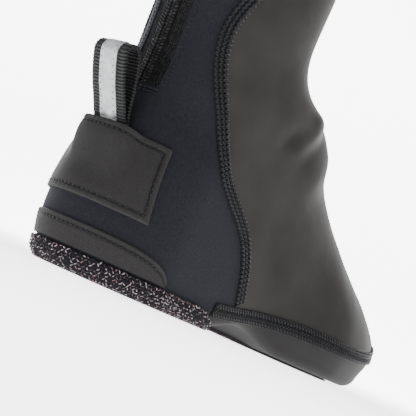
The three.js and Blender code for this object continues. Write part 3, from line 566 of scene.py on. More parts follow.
def knit_neoprene():
    # Foamed neoprene laminated with a fine nylon jersey: matt, navy-black, a faint sheen at grazing angles.
    # The stitch of the jersey is about 0.4 mm, and drawn at 0.9 mm so that it shows.
    colour = settings().knit_colour
    material, tree, shader = finish_of(
        "neoprene_jersey", Roughness=0.85, IOR=1.48, Specular_IOR_Level=0.12, Sheen_Weight=0.07,
        Sheen_Roughness=0.5, Sheen_Tint=linear("#6a7186"))
    # Through the crown, fold ridges are painted lighter and fold troughs darker: painted highlight and
    # painted shade.
    tinted(tree, shader, crown_and(tree, spots(tree, 0.9, 1.0), 0.7), shade(colour, 0.65),
           shade(colour, 1.45), (0.28, 0.74))
    relief(tree, shader, (spots(tree, 0.9), 0.12, 0.6), (spots(tree, 9.0, 1.0), 0.4, 0.2))
    return material


def coated_neoprene():
    # Neoprene with a smooth polyurethane coat, calendered: nearly matt, even, with few marks.
    colour = settings().coating_colour
    material, tree, shader = finish_of(
        "coated_neoprene", Roughness=0.52, IOR=1.5, Specular_IOR_Level=0.012)
    # Half the tint follows the crown: painted highlight on fold ridges, painted shade in fold troughs.
    tinted(tree, shader, crown_and(tree, spots(tree, 34.0, 3.0), 0.5), shade(colour, 0.72),
           shade(colour, 1.5))
    relief(tree, shader, (spots(tree, 1.0, 2.0), 0.05, 0.3), (spots(tree, 16.0, 2.0), 0.9, 0.35))
    return material


def rubberised_fabric():
    # Woven nylon with a rubber coat: near-matt warm black, the weave of about 0.6 mm faint under the coat,
    # drawn at 0.9 mm so that it shows. Through the crown, edges are tinted lighter, as wear and painted
    # highlight, and stitch grooves and hollows darker, painted shade; on the sole panel fold ridges are
    # lighter, painted highlight, and fold troughs darker, painted shade.
    colour = settings().rubberised_colour
    material, tree, shader = finish_of("rubberised_fabric", Roughness=0.6, IOR=1.5, Specular_IOR_Level=0.05)
    tinted(tree, shader, crown_and(tree, spots(tree, 0.9, 3.0, 0.7), 0.42), shade(colour, 0.45),
           shade(colour, 1.75), (0.22, 0.8))
    relief(tree, shader, (spots(tree, 0.9, 2.0), 0.13, 0.7), (spots(tree, 7.0), 0.35, 0.35))
    return material


def brushed_lining():
    # Brushed fleece face on the inside of the wall: black, no gloss.
    material, tree, shader = finish_of(
        "fleece_lining", Roughness=0.95, Specular_IOR_Level=0.2, Sheen_Weight=0.2)
    tinted(tree, shader, spots(tree, 1.6, 4.0), linear("#0b0b0d"), linear("#1a1a1e"))
    relief(tree, shader, (spots(tree, 1.6, 4.0), 0.5, 0.6))
    return material


def spun_thread(name, colour, roughness, light=2.2):
    # Spun polyester overlock thread: the crown of each strand is painted lighter, a painted highlight, and
    # its underside and ends darker, painted shade; it also catches a small highlight from the lamps.
    material, tree, shader = finish_of(name, Roughness=roughness, IOR=1.5, Specular_IOR_Level=0.2)
    colour = linear(colour)
    tinted(tree, shader, crown_and(tree, spots(tree, 0.6, 1.0), 0.25), shade(colour, 0.35),
           shade(colour, light), (0.12, 0.75))
    return material


def webbing_weave():
    # Woven polypropylene webbing: stiff ribs, slightly glossy; the crown paints them black in their hollows,
    # painted shade, and greyer on their crowns, painted highlight.
    material, tree, shader = finish_of(
        "polypropylene_webbing", Roughness=0.4, IOR=1.49, Specular_IOR_Level=0.16)
    tinted(tree, shader, crown_and(tree, spots(tree, 0.5, 1.0), 0.25), linear("#020203"), linear("#2a2a2c"),
           (0.4, 0.95))
    relief(tree, shader, (spots(tree, 0.35, 1.0), 0.1, 0.5))
    return material


def glass_bead_tape():
    # Retroreflective tape of glass beads on cloth: even silver grey, faintly grained.
    material, tree, shader = finish_of("glass_bead_tape", Roughness=0.38, Metallic=0.25, IOR=1.5)
    # Half the tint follows the crown: painted highlight on the wrinkles' ridges, painted shade in their
    # troughs.
    tinted(tree, shader, crown_and(tree, spots(tree, 3.0, 3.0), 0.5), linear("#7e8082"), linear("#a8aaab"))
    relief(tree, shader, (spots(tree, 0.5), 0.03, 0.3), (spots(tree, 4.0), 0.35, 0.4))
    return material


def zip_polyester():
    # Woven polyester zip tape: through the crown, black in its hollows, slit and back, painted shade, and
    # charcoal on its yarns' crowns, painted highlight.
    material, tree, shader = finish_of("polyester_zip_tape", Roughness=0.45, IOR=1.5, Specular_IOR_Level=0.15)
    tinted(tree, shader, crown_and(tree, spots(tree, 0.6, 1.0), 0.2), linear("#020203"), linear("#3f3f42"),
           (0.3, 0.95))
    relief(tree, shader, (spots(tree, 0.4, 1.0), 0.08, 0.5))
    return material


def lacquered_zinc():
    # Die-cast zinc with black lacquer: satin, with faint orange peel.
    material, tree, shader = finish_of("lacquered_zinc", Roughness=0.32, Metallic=0.6)
    tinted(tree, shader, spots(tree, 2.0, 3.0), linear("#131315"), linear("#242427"))
    relief(tree, shader, (spots(tree, 0.6), 0.02, 0.3))
    return material


looks = {}


def look(make, *arguments):
    """Makes each finish once."""
    key = (make.__name__, *arguments)
    if key not in looks:
        looks[key] = make(*arguments)
    return looks[key]


def black_thread():
    return look(spun_thread, "black_thread", "#0c0c0f", 0.3, 3.4)


# Wall
WALL_ROWS, WALL_COLUMNS = 184, 210
UNDER_ROWS, UNDER_COLUMNS = 170, 61
LINING_ROWS, LINING_COLUMNS = 70, 80
COLLAR_STEPS = 7
SOLE_START = HEEL_OPENING_END - 4
NEAR_BACK = 44.0  # columns at fixed distances from the middle of the back, out to here
NEAR_STEP = 1.0


def wall_grid(rows, spread_columns, near_step):
    """Levels and turns of the wall. Near the back the columns keep their distance from the middle."""
    levels = np.concatenate([np.linspace(-1, 0, 7)[:-1], np.linspace(0, LAST_RING, rows)])
    zip_level = float(back_level(ZIP_BOTTOM))
    levels[np.argmin(np.abs(levels - zip_level))] = zip_level
    near = np.arange(0, NEAR_BACK + 1e-6, near_step)
    turns = []
    for level in levels:
        lengths = lengths_round(level)
        spread = np.linspace(0, 1, spread_columns + 2)[1:-1]
        middle = near[-1] + (lengths[-1] - 2 * near[-1]) * spread
        stops = np.concatenate([near, middle, lengths[-1] - near[:0:-1]])
        turns.append(np.interp(stops, lengths, TURNS))
    turns = np.array(turns)
    distances = np.concatenate([near, np.full(spread_columns, np.inf), -near[:0:-1]])
    return np.repeat(levels[:, None], turns.shape[1], 1), turns, distances


def heel_path(sides, corner, crossing):
    """Edge of the heel opening: point, outward direction, depth inside the form's side, facing."""
    corner_y = HEEL_OPENING_END - OPENING_CORNER
    last = float(turn_at(np.array(0.0), corner_y, 1))
    turn = np.linspace(-last, last, sides + 1)
    out = outline_normal(turn)
    points = ring_point(np.broadcast_to(RINGS[0], (len(turn), RINGS.shape[1])), turn) - out * HEEL_LIP
    rows = [(p, o, HEEL_LIP, 1.0) for p, o in zip(points, out)]

    def bend(edge, side):
        centre = edge - np.array([side * OPENING_CORNER, 0, 0])
        made = []
        for i in range(corner):
            swing = (i + 1) / corner * math.pi / 2
            direction = np.array([side * math.cos(swing), math.sin(swing), 0])
            depth = HEEL_LIP + OPENING_CORNER * (1 - math.cos(swing))
            made.append((centre + direction * OPENING_CORNER, direction, depth, math.cos(swing)))
        return made

    outer, inner = bend(points[-1], 1), bend(points[0], -1)[::-1]
    a, b = outer[-1], inner[0]
    middle = [(a[0] + (b[0] - a[0]) * s, a[1], a[2], a[3]) for s in np.linspace(0, 1, crossing + 1)[1:-1]]
    rows += outer + middle + inner
    return tuple(np.array([r[i] for r in rows], float) for i in range(4))


def cleat_path(count):
    half = CLEAT_OPENING_LENGTH / 2
    centre_y = CLEAT_OPENING_START + half
    squareness = 0.72

    def place(turn):
        c, s = np.cos(turn), np.sin(turn)
        y = centre_y + half * np.sign(s) * np.abs(s) ** squareness
        x = middle_line(y) + CLEAT_OPENING_WIDTH / 2 * np.sign(c) * np.abs(c) ** squareness
        return np.stack([x, y, np.zeros_like(x)], -1)

    turn = 2 * np.pi * (np.arange(count) + 0.5) / count
    along = place(turn + 0.05) - place(turn - 0.05)
    out = unit(np.stack([along[:, 1], -along[:, 0], np.zeros(count)], -1))
    return place(turn), out, np.full(count, BALL_WIDTH), np.zeros(count)


def inside(points, outline):
    """Whether plan points lie inside a plan outline."""
    x, y = points[..., 0], points[..., 1]
    hit = np.zeros(x.shape, bool)
    for a, b in zip(outline, np.roll(outline, -1, axis=0)):
        crosses = (a[1] > y) != (b[1] > y)
        with np.errstate(divide="ignore", invalid="ignore"):
            hit ^= crosses & (x < (b[0] - a[0]) * (y - a[1]) / (b[1] - a[1]) + a[0])
    return hit


def build_wall():
    level, turn, distance = wall_grid(WALL_ROWS, WALL_COLUMNS, NEAR_STEP)
    outer, normal = surface(level, turn)
    rows, columns = level.shape
    # Painted light on the folds: fold ridges tinted lighter, painted highlight, and fold troughs darker,
    # painted shade.
    crown = PLAIN_CROWN + 0.13 * fold_height(outer, normal)
    faces = grid_faces(rows, columns, wrap=True)
    flat = outer.reshape(-1, 3)
    centre = flat[faces].mean(1)
    corner = np.tile(distance, rows)[faces]
    window = (np.abs(corner).max(1) <= ZIP_HALF + 0.01) & (centre[:, 2] > ZIP_BOTTOM)
    seam_y = side_seam_place(centre[:, 2])
    is_sole = (centre[:, 2] < sole_seam_height(centre[:, 1])) & (centre[:, 1] > SOLE_START)
    front = (centre[:, 1] > seam_y) & ~is_sole
    # The underside, between the bottom edge's two halves
    half = np.linspace(0.02, np.pi - 0.02, UNDER_ROWS)
    right, left = form_point(-1, half), form_point(-1, 2 * np.pi - half)
    share = np.linspace(0, 1, UNDER_COLUMNS)[None, :, None]
    under = right[:, None] * (1 - share) + left[:, None] * share
    under[..., 2] = BOTTOM + underside(under[..., 1])
    under_faces = grid_faces(UNDER_ROWS, UNDER_COLUMNS, flip=True)
    under_centre = under.reshape(-1, 3)[under_faces].mean(1)
    heel_outline, cleat_outline = heel_path(60, 10, 6)[0], cleat_path(96)[0]
    open_heel, open_cleat = inside(under_centre, heel_outline), inside(under_centre, cleat_outline)
    under_keep = ~open_heel & ~open_cleat
    under_sole = under_centre[:, 1] > SOLE_START
    # Lining: a plainer grid just inside
    in_level, in_turn, in_distance = wall_grid(LINING_ROWS, LINING_COLUMNS, 2 * NEAR_STEP)
    lining, _ = surface(in_level, in_turn, -WALL, folded=False)
    in_rows, in_columns = in_level.shape
    in_faces = grid_faces(in_rows, in_columns, wrap=True, flip=True)
    in_centre = lining.reshape(-1, 3)[in_faces].mean(1)
    in_corner = np.tile(in_distance, in_rows)[in_faces]
    in_window = (np.abs(in_corner).max(1) <= ZIP_HALF + 0.01) & (in_centre[:, 2] > ZIP_BOTTOM)
    in_faces = in_faces[~in_window]
    in_under = under + (0, 0, WALL)
    # Collar: a rolled edge from the outer wall over to the lining
    roll = np.linspace(0, np.pi, COLLAR_STEPS)
    top, top_normal = outer[-1], normal[-1]
    collar = np.array([
        top - top_normal * (WALL / 2 * (1 - math.cos(a))) + np.array([0, 0, WALL / 2 * math.sin(a)])
        for a in roll
    ])
    collar_faces = grid_faces(COLLAR_STEPS, columns, wrap=True)
    collar_corner = np.tile(distance, COLLAR_STEPS)[collar_faces]
    collar_faces = collar_faces[np.abs(collar_corner).max(1) > ZIP_HALF + 0.01]
    # Cut edges of the zip's window
    sides = []
    for at in (ZIP_HALF, -ZIP_HALF):
        column = int(np.argmin(np.abs(distance - at)))
        keep = level[:, column] >= float(back_level(ZIP_BOTTOM)) - 1e-6
        edge = np.stack([outer[keep, column], outer[keep, column] - normal[keep, column] * WALL])
        sides.append((edge, grid_faces(2, keep.sum(), flip=at < 0)))
    knit, coat, rubber, fleece = (
        look(m) for m in (knit_neoprene, coated_neoprene, rubberised_fabric, brushed_lining))
    upper_faces = faces[~is_sole & ~window]
    points, made, counts, tint = joined(
        (flat, upper_faces, crown), (under, under_faces[under_keep & ~under_sole]), (lining, in_faces),
        (in_under, under_faces[under_keep][:, ::-1]), (collar, collar_faces), *sides)
    marks = np.concatenate([
        front[~is_sole & ~window].astype(int), np.zeros(counts[1]), np.full(counts[2] + counts[3], 2),
        np.zeros(sum(counts[4:])),
    ])
    start = sum(counts[:4])
    collar_y = points[made[start:start + counts[4]]].mean(1)[:, 1]
    marks[start:start + counts[4]] = collar_y > side_seam_place(HEIGHT - WALL)
    add_piece("upper_shell", points, made, [knit, coat, fleece], ("upper",), marks, tint)
    points, made, _, tint = joined(
        (flat, faces[is_sole], crown), (under, under_faces[under_keep & under_sole]))
    add_piece("sole_panel_shell", points, made, [rubber], ("sole_panel",), None, tint)


# Bindings
COURSE = 1.15  # between the rows of the knitted tape
LOOP_LENGTH, LOOP_RADIUS, LOOP_RISE = 1.65, 0.27, 0.42  # one loop of its thread
LOOP_SLANT, LOOP_WANDER = 0.7, 0.14
WALK_STEP = 0.25


def strip(path, reach):
    """Walks out from an opening's edge over the form: distances, in-plan reach, rise and lean at each."""
    _, _, depth, facing = path
    out, up, lean = (np.zeros(len(depth)) for _ in range(3))
    rows = [(out.copy(), up.copy(), lean.copy())]
    safe = np.maximum(facing, 0.05)
    for _ in range(int(round(reach / WALK_STEP))):
        flat = (lean == 0) & ((depth - out * facing > EDGE_RADIUS) | (facing < 0.05))
        bending = ~flat & (lean < np.pi / 2)
        stretch = np.hypot(np.cos(lean) / safe, np.sin(lean))
        turned = np.where(bending, WALK_STEP / EDGE_RADIUS / stretch, 0)
        round_out, round_up = (EDGE_RADIUS * part * turned for part in (np.cos(lean) / safe, np.sin(lean)))
        out = out + np.where(flat, WALK_STEP, np.where(bending, round_out, 0.2 * WALK_STEP))
        up = up + np.where(flat, 0, np.where(bending, round_up, 0.98 * WALK_STEP))
        lean = lean + turned
        rows.append((out.copy(), up.copy(), lean.copy()))
    return np.array(rows)


def strip_points(path, walk, distance, off):
    """Points at a distance from the opening's edge and off the form's outside, one per entry of the path."""
    points, outward, _, _ = path
    at = np.clip(distance / WALK_STEP, 0, len(walk) - 1)
    i = int(min(math.floor(at), len(walk) - 2))
    out, up, lean = walk[i] * (1 - (at - i)) + walk[i + 1] * (at - i)
    plan = points + outward * (out + min(distance, 0) + np.sin(lean) * off)[:, None]
    plan[:, 2] = BOTTOM + underside(plan[:, 1]) + up - np.cos(lean) * off
    normal = outward * np.sin(lean)[:, None]
    normal[:, 2] = -np.cos(lean)
    return plan, normal


def binding(name, path, reach, node_name, pitch):
    """Knitted tape folded over an opening's edge, with its loops."""
    walk = strip(path, reach)
    generator = np.random.default_rng(7)
    near, far = 0.4, CLEARANCE + BINDING - 0.45
    profile = []
    for s in np.linspace(reach, 0, 15):
        swell = rounded(reach - s, 1.4) * (0.9 + 0.1 * math.sin(s * 2.2))
        profile.append((s, near + (far - near) * swell))
    for a in np.linspace(0, np.pi, 9)[1:-1]:
        profile.append((-BINDING * math.sin(a), -WALL / 2 + (WALL / 2 + far) * math.cos(a)))
    for s in np.linspace(0, BINDING_INSIDE, 7):
        profile.append((s, -WALL - near - (far - near) * rounded(BINDING_INSIDE - s, 1.2)))
    rows, normals = zip(*[strip_points(path, walk, s, off) for s, off in profile])
    rows, normals = np.array(rows), np.array(normals)
    base = (rows, grid_faces(len(rows), rows.shape[1], wrap=True))
    # Loops of the knit: short threads leaning one way, then the other, from course to course
    ring = np.concatenate([path[0], path[0][:1]])
    spots_at = along_path(ring, pitch)
    columns = len(spots_at)
    strokes = []
    courses = [(s, far + 0.12, 1) for s in np.arange(0.3, reach, COURSE)]
    courses += [(-BINDING * 1.02, far * 0.35, 0), (-BINDING * 1.05, -WALL / 2, 0)]
    for number, (s, off, outside) in enumerate(courses):
        plan, normal = strip_points(path, walk, s, off)
        if not outside:
            normal = -path[1]
        closed, closed_normal = np.concatenate([plan, plan[:1]]), np.concatenate([normal, normal[:1]])
        at = (spots_at + (number % 2) * 0.5 * (len(ring) - 1) / columns) % (len(ring) - 1)
        place, facing = sample(closed, at), unit(sample(closed_normal, at))
        after, before = np.minimum(at + 0.05, len(ring) - 1), np.maximum(at - 0.05, 0)
        ahead = unit(sample(closed, after) - sample(closed, before))
        across = unit(np.cross(facing, ahead))
        lean = np.where(np.arange(columns) % 2 == number % 2, LOOP_SLANT, -LOOP_SLANT)
        lean = lean + generator.normal(0, 0.3, columns)
        direction = ahead * np.cos(lean)[:, None] + across * np.sin(lean)[:, None]
        place = place + ahead * generator.normal(0, LOOP_WANDER, columns)[:, None]
        place = place + across * generator.normal(0, LOOP_WANDER, columns)[:, None]
        length = LOOP_LENGTH + generator.normal(0, 0.2, columns)
        edge = abs(s - reach) < 1.7
        kinds = generator.choice(4, columns, p=(0.2, 0.28, 0.28, 0.24) if edge else (0.3, 0.26, 0.4, 0.04))
        strokes.append((place, direction, facing, length, kinds))
    place, direction, facing, length, kinds = (np.concatenate(part) for part in zip(*strokes))
    knitted = threads(place, direction, facing, length, LOOP_RADIUS, LOOP_RISE)
    faces_each = len(knitted[1]) // len(place)
    points, faces, counts, crown = joined(base, knitted)
    marks = np.concatenate([np.zeros(counts[0]), 1 + np.repeat(kinds, faces_each)])
    knit = [
        look(spun_thread, "binding_ground", "#100e12", 0.95),
        look(spun_thread, "binding_black", "#171418", 0.8),
        look(spun_thread, "binding_grey", "#3f3a3e", 0.8, 1.6),
        look(spun_thread, "binding_pale", "#847a7e", 0.8, 1.5),
        look(spun_thread, "binding_rose", "#715658", 0.8, 1.4),
    ]
    add_piece(name, points, faces, knit, (node_name,), marks, crown)


# Seams: width of each band, and pitch of its stitches
SEAM_PITCH = 2.3
SOLE_SEAM_WIDTH = 7.4
SOLE_SEAM_START = HEEL_OPENING_END - 2
FRONT_SEAM_WIDTH, FRONT_SEAM_PITCH = 3.2, 1.8
RIBBON_STEPS = 9


def seam_frame(level, turn):
    """Points, normals and directions along a seam on the wall."""
    points, normals = surface(level, turn)
    along = unit(np.gradient(points, axis=0))
    return points, unit(normals), along, unit(np.cross(along, normals))


def ribbon(points, normals, across, width, rise):
    """A domed band along a path."""
    v = np.linspace(-0.5, 0.5, RIBBON_STEPS)
    lift = 0.15 + rise * rounded(0.5 - np.abs(v), 0.22)
    grid = points[:, None] + across[:, None] * (v * width)[None, :, None]
    grid = grid + normals[:, None] * lift[None, :, None]
    return grid, grid_faces(len(points), RIBBON_STEPS, flip=True)


def overlock(points, normals, along, across, rows, pitch, rise):
    """Rows of slanted threads along a band. Each row: offset across, slant, length, thread radius."""
    made = []
    for offset, slant, length, radius, start in rows:
        at = along_path(points, pitch, start * pitch)
        place, normal = sample(points, at), unit(sample(normals, at))
        ahead, side = unit(sample(along, at)), unit(sample(across, at))
        place = place + side * offset + normal * rise
        direction = ahead * math.cos(slant) + side * math.sin(slant)
        made.append(threads(place, direction, normal, length, radius, 0.45))
    return made


def build_seam(name, level, turn, node_name, rows, pitch, width, rise=0.6, edge=()):
    """A band with its threads. edge holds rows of paler stitches."""
    points, normals, along, across = seam_frame(level, turn)
    sewn = overlock(points, normals, along, across, rows, pitch, rise + 0.15)
    paler = overlock(points, normals, along, across, edge, pitch, 0.25)
    points, faces, counts, crown = joined(ribbon(points, normals, across, width, rise), *sewn, *paler)
    kinds = [0, *[1] * len(sewn), *[2] * len(paler)]
    ground = look(spun_thread, "seam_ground", "#060608", 0.8)
    pale = look(spun_thread, "pale_stitch", "#5d5957", 0.6, 1.2)
    add_piece(name, points, faces, [ground, black_thread(), pale], (node_name,),
              np.repeat(kinds, counts), crown)


FLATLOCK = [  # offset, slant, length, radius, start
    *[(x, slant, 2.5, 0.52, start) for x in (-2.3, 0.0, 2.3) for slant, start in ((0.9, 0.0), (-0.9, 0.5))],
]
CHEVRON = [
    (-2.2, 0.8, 3.1, 0.46, 0.0), (0.0, -0.8, 3.1, 0.46, 0.4), (2.2, 0.8, 3.1, 0.46, 0.0),
    (3.4, 0.1, 1.9, 0.36, 0.5), (-3.4, 0.1, 1.9, 0.36, 0.5),
]
TWIN = [(-1.1, 0.5, 1.7, 0.34, 0.0), (1.1, -0.5, 1.7, 0.34, 0.5)]


def build_seams():
    path = between(SIDE_SEAM, np.linspace(0, len(SIDE_SEAM) - 1, 260))
    level = np.minimum(level_at(path[:, 0], path[:, 1]), LAST_RING - STEP)
    for side, word in ((1, "outer"), (-1, "inner")):
        build_seam(
            f"side_seam_{word}_band", level, turn_at(level, path[:, 0], side), f"side_seam_{word}",
            FLATLOCK, SEAM_PITCH, SEAM_WIDTH, edge=[(side * (SEAM_WIDTH / 2 + 0.4), 1.3, 1.1, 0.22, 0.0)])
    first = float(turn_at(np.array(0.5), SOLE_SEAM_START, 1))
    turn = np.linspace(first, 2 * np.pi - first, 420)

    def below(at):
        point = form_point(at, turn)
        return point[..., 2] < sole_seam_height(point[..., 1])

    level = bisect(below, turn.shape, LAST_RING / 2)
    build_seam("sole_seam_band", level, turn, "sole_seam", CHEVRON, SEAM_PITCH, SOLE_SEAM_WIDTH)
    levels = np.linspace(0, LAST_RING / 2, 900)
    point = form_point(levels, np.pi)
    toe = float(levels[np.argmax(point[:, 2] > sole_seam_height(point[:, 1]))])
    level = np.linspace(toe + 0.55, LAST_RING - STEP, 260)
    build_seam("front_seam_band", level, np.full(level.shape, np.pi), "front_seam", TWIN,
               FRONT_SEAM_PITCH, FRONT_SEAM_WIDTH, 0.5)


# Heel patch and counter
STITCH_INSET = 3.0
STITCH_SHARE, STITCH_RADIUS = 0.7, 0.33  # how much of the pitch the thread fills, and its radius
COVER_BACK = CLEARANCE * 0.3  # the back of each sheet, off the wall
HOLLOW_AT, HOLLOW_WIDTH = 0.44, 0.2  # shares of the patch's length


def stitches(points, normals, pitch, length, radius):
    at = along_path(points, pitch)
    ahead = unit(sample(np.gradient(points, axis=0), at))
    return threads(sample(points, at), ahead, unit(sample(normals, at)), length, radius, 0.3)


def sewn_cover(name, outer, inner, wear_highlight_and_shade, lines, node_name):
    """A sheet with its stitch lines, each given as points and normals. The tint given for the sheet paints
    its edges lighter, as wear and painted highlight, and its stitch grooves and hollow darker, as painted
    shade.
    """
    pitch = settings().stitch_pitch / MM
    base = (*slab(outer, inner), np.concatenate([wear_highlight_and_shade.ravel(), wear_highlight_and_shade.ravel()]))
    sewn = [stitches(p + n * 0.1, n, pitch, pitch * STITCH_SHARE, STITCH_RADIUS) for p, n in lines]
    points, faces, counts, crown = joined(base, *sewn)
    marks = np.concatenate([np.zeros(counts[0]), np.ones(sum(counts[1:]))])
    add_piece(name, points, faces, [look(rubberised_fabric), black_thread()],
              (node_name,), marks, crown)


def patch_grid(u, v):
    """Level and turn over the heel patch, and how far the webbing behind lifts it."""
    across = 2 * u - 1
    height = PATCH_BOTTOM + (PATCH_TOP - PATCH_BOTTOM) * v
    levels = back_level(height)
    half = PATCH_HALF_BOTTOM + (PATCH_HALF_TOP - PATCH_HALF_BOTTOM) * v
    turns = np.array([turns_grid([at], across * h)[0] for at, h in zip(levels, half)])
    off_middle = np.abs(across[None] * half[:, None])
    over = smooth(np.clip((WEBBING_WIDTH * 0.95 - off_middle) / (WEBBING_WIDTH * 0.45), 0, 1))
    lift = (WEBBING * 3 + CLEARANCE) * over * smooth(np.clip((v[:, None] - 0.3) / 0.6, 0, 1))
    return np.repeat(levels[:, None], len(u), 1), turns, lift


def build_patch():
    u, v = np.linspace(0, 1, 150), np.linspace(0, 1, 76)
    level, turn, lift = patch_grid(u, v)
    half = (PATCH_HALF_BOTTOM + (PATCH_HALF_TOP - PATCH_HALF_BOTTOM) * v)[:, None]
    mm_u = np.minimum(u, 1 - u)[None] * 2 * half
    tall = PATCH_TOP - PATCH_BOTTOM
    mm_low = v[:, None] * tall
    mm_high = (1 - v)[:, None] * tall
    border = np.minimum(np.minimum(mm_u, mm_low), mm_high)
    thickness = PATCH_THICKNESS * (0.45 + 0.55 * rounded(border, 0.8))
    crowned = 0.12 * smooth(np.clip((border - 3.2) / 3.0, 0, 1))
    groove = -0.3 * np.exp(-((border - STITCH_INSET) / 0.5) ** 2)
    lip = 0.3 * smooth(np.clip((2.6 - mm_high) / 0.7, 0, 1)) * smooth(np.clip(mm_u / 3.0, 0, 1))
    pucker = 0.1 * np.sin(u[None] * 150) * np.exp(-((border - 2.2) / 1.5) ** 2)
    hollow = np.exp(-(((u[None] - HOLLOW_AT) / HOLLOW_WIDTH) ** 2) - (((v[:, None] - 0.42) / 0.2) ** 2))
    hollow = -0.7 * hollow
    relief_out = crowned + groove + lip + pucker + np.maximum(hollow, -thickness)
    outer, normal = surface(level, turn, CLEARANCE + lift + thickness + relief_out)
    inner, _ = surface(level, turn, COVER_BACK + lift * 0.9)
    dent = np.exp(-(((u[None] - HOLLOW_AT) / HOLLOW_WIDTH) ** 2) - (((v[:, None] - 0.5) / 0.22) ** 2))
    # The sheet's tint: edges lighter, as wear and painted highlight; painted shade in the stitch groove and
    # in the hollow.
    wear_highlight_and_shade = 0.5 + 0.26 * np.exp(-(((border - 0.5) / 0.5) ** 2))
    wear_highlight_and_shade = wear_highlight_and_shade - 0.5 * np.exp(-(((border - STITCH_INSET) / 0.45) ** 2))
    wear_highlight_and_shade = wear_highlight_and_shade - 0.22 * dent
    rows = [int(round(STITCH_INSET / tall * (len(v) - 1)))]
    rows.append(len(v) - 1 - int(round((STITCH_INSET + 0.4) / tall * (len(v) - 1))))
    edge = int(round(STITCH_INSET / (2 * PATCH_HALF_BOTTOM) * (len(u) - 1)))
    lines = [(outer[r, edge:-edge], normal[r, edge:-edge]) for r in rows]
    lines += [(outer[rows[0]:rows[1], c], normal[rows[0]:rows[1], c]) for c in (edge, len(u) - 1 - edge)]
    sewn_cover("heel_patch_cover", outer, inner, wear_highlight_and_shade, lines, "heel_patch")


def build_counter():
    u, v = np.linspace(0, 1, 190), np.linspace(0, 1, 26)
    across = 2 * u - 1
    low = float(level_at(0.1 * LENGTH, BOTTOM + COUNTER_LOW))
    top = float(back_level(COUNTER_TOP))
    fall = np.sqrt(1 - 0.999 * np.abs(across) ** 5)
    level = low + (top - low) * v[:, None] * fall[None]
    lengths = lengths_round((low + top) / 2)
    turn = np.copysign(np.interp(np.abs(across) * COUNTER_HALF, lengths, TURNS), across)
    turn = np.repeat(turn[None], len(v), 0)
    rise = COUNTER_RISE * fall
    border = (1 - v[:, None]) * rise[None]
    thickness = COUNTER_THICKNESS * (0.4 + 0.6 * rounded(border, 0.7))
    thickness = thickness - 0.25 * np.exp(-((border - COUNTER_INSET) / 0.7) ** 2)
    outer, normal = surface(level, turn, CLEARANCE + thickness)
    inner, _ = surface(level, turn, COVER_BACK)
    share = np.clip(1 - COUNTER_INSET / np.maximum(rise, 3.0), 0, 1) * (len(v) - 1)
    sewn = range(12, len(u) - 12)
    line = np.array([sample(outer[:, j], np.array([share[j]]))[0] for j in sewn])
    line_normal = np.array([normal[int(share[j]), j] for j in sewn])
    # The sheet's tint: edges lighter, as wear and painted highlight; painted shade in the stitch groove.
    wear_highlight_and_shade = 0.5 + 0.22 * np.exp(-(((border - 0.5) / 0.5) ** 2))
    wear_highlight_and_shade = wear_highlight_and_shade - 0.5 * np.exp(-(((border - COUNTER_INSET) / 0.45) ** 2))
    sewn_cover("heel_counter_cover", outer, inner, wear_highlight_and_shade, [(line, line_normal)], "heel_counter")


# Pull loop
RIB_CELL = 1.7  # width of one strand of the webbing's ribs
LINE_STEP = 0.2


def loop_line():
    lean = math.radians(LOOP_LEAN)
    up = np.array([0, -math.sin(lean), math.cos(lean)])
    outward = np.array([0, -math.cos(lean), -math.sin(lean)])
    half = (WEBBING + CLEARANCE) / 2
    out = CLEARANCE + WEBBING / 2

    def behind(z, layer):
        return np.array([0, float(back_line(z)) - out - layer * 2 * half, z])

    lip = PATCH_TOP + PATCH_THICKNESS
    mouth = behind(lip + CLEARANCE, 0.5)

    def free(s, layer):
        spread = half + LOOP_GAP / 2 * smooth(min(1.0, s / (0.7 * LOOP_HEIGHT)))
        return mouth + up * s + outward * spread * (1 if layer else -1)

    rise = [share * LOOP_HEIGHT for share in (0.12, 0.3, 0.5, 0.7, 0.86)]
    radius = LOOP_GAP / 2 + half
    centre = mouth + up * (LOOP_HEIGHT - radius)
    bend = [
        centre + up * radius * math.sin(math.radians(a)) + outward * radius * math.cos(math.radians(a))
        for a in (155, 120, 90, 60, 25)
    ]
    start = PATCH_TOP - LOOP_TUCK
    return np.array([
        behind(start, 0), behind(lip, 0), *[free(s, 0) for s in rise], *bend,
        *[free(s, 1) for s in reversed(rise)], behind(lip, 1), behind(start, 1),
    ])


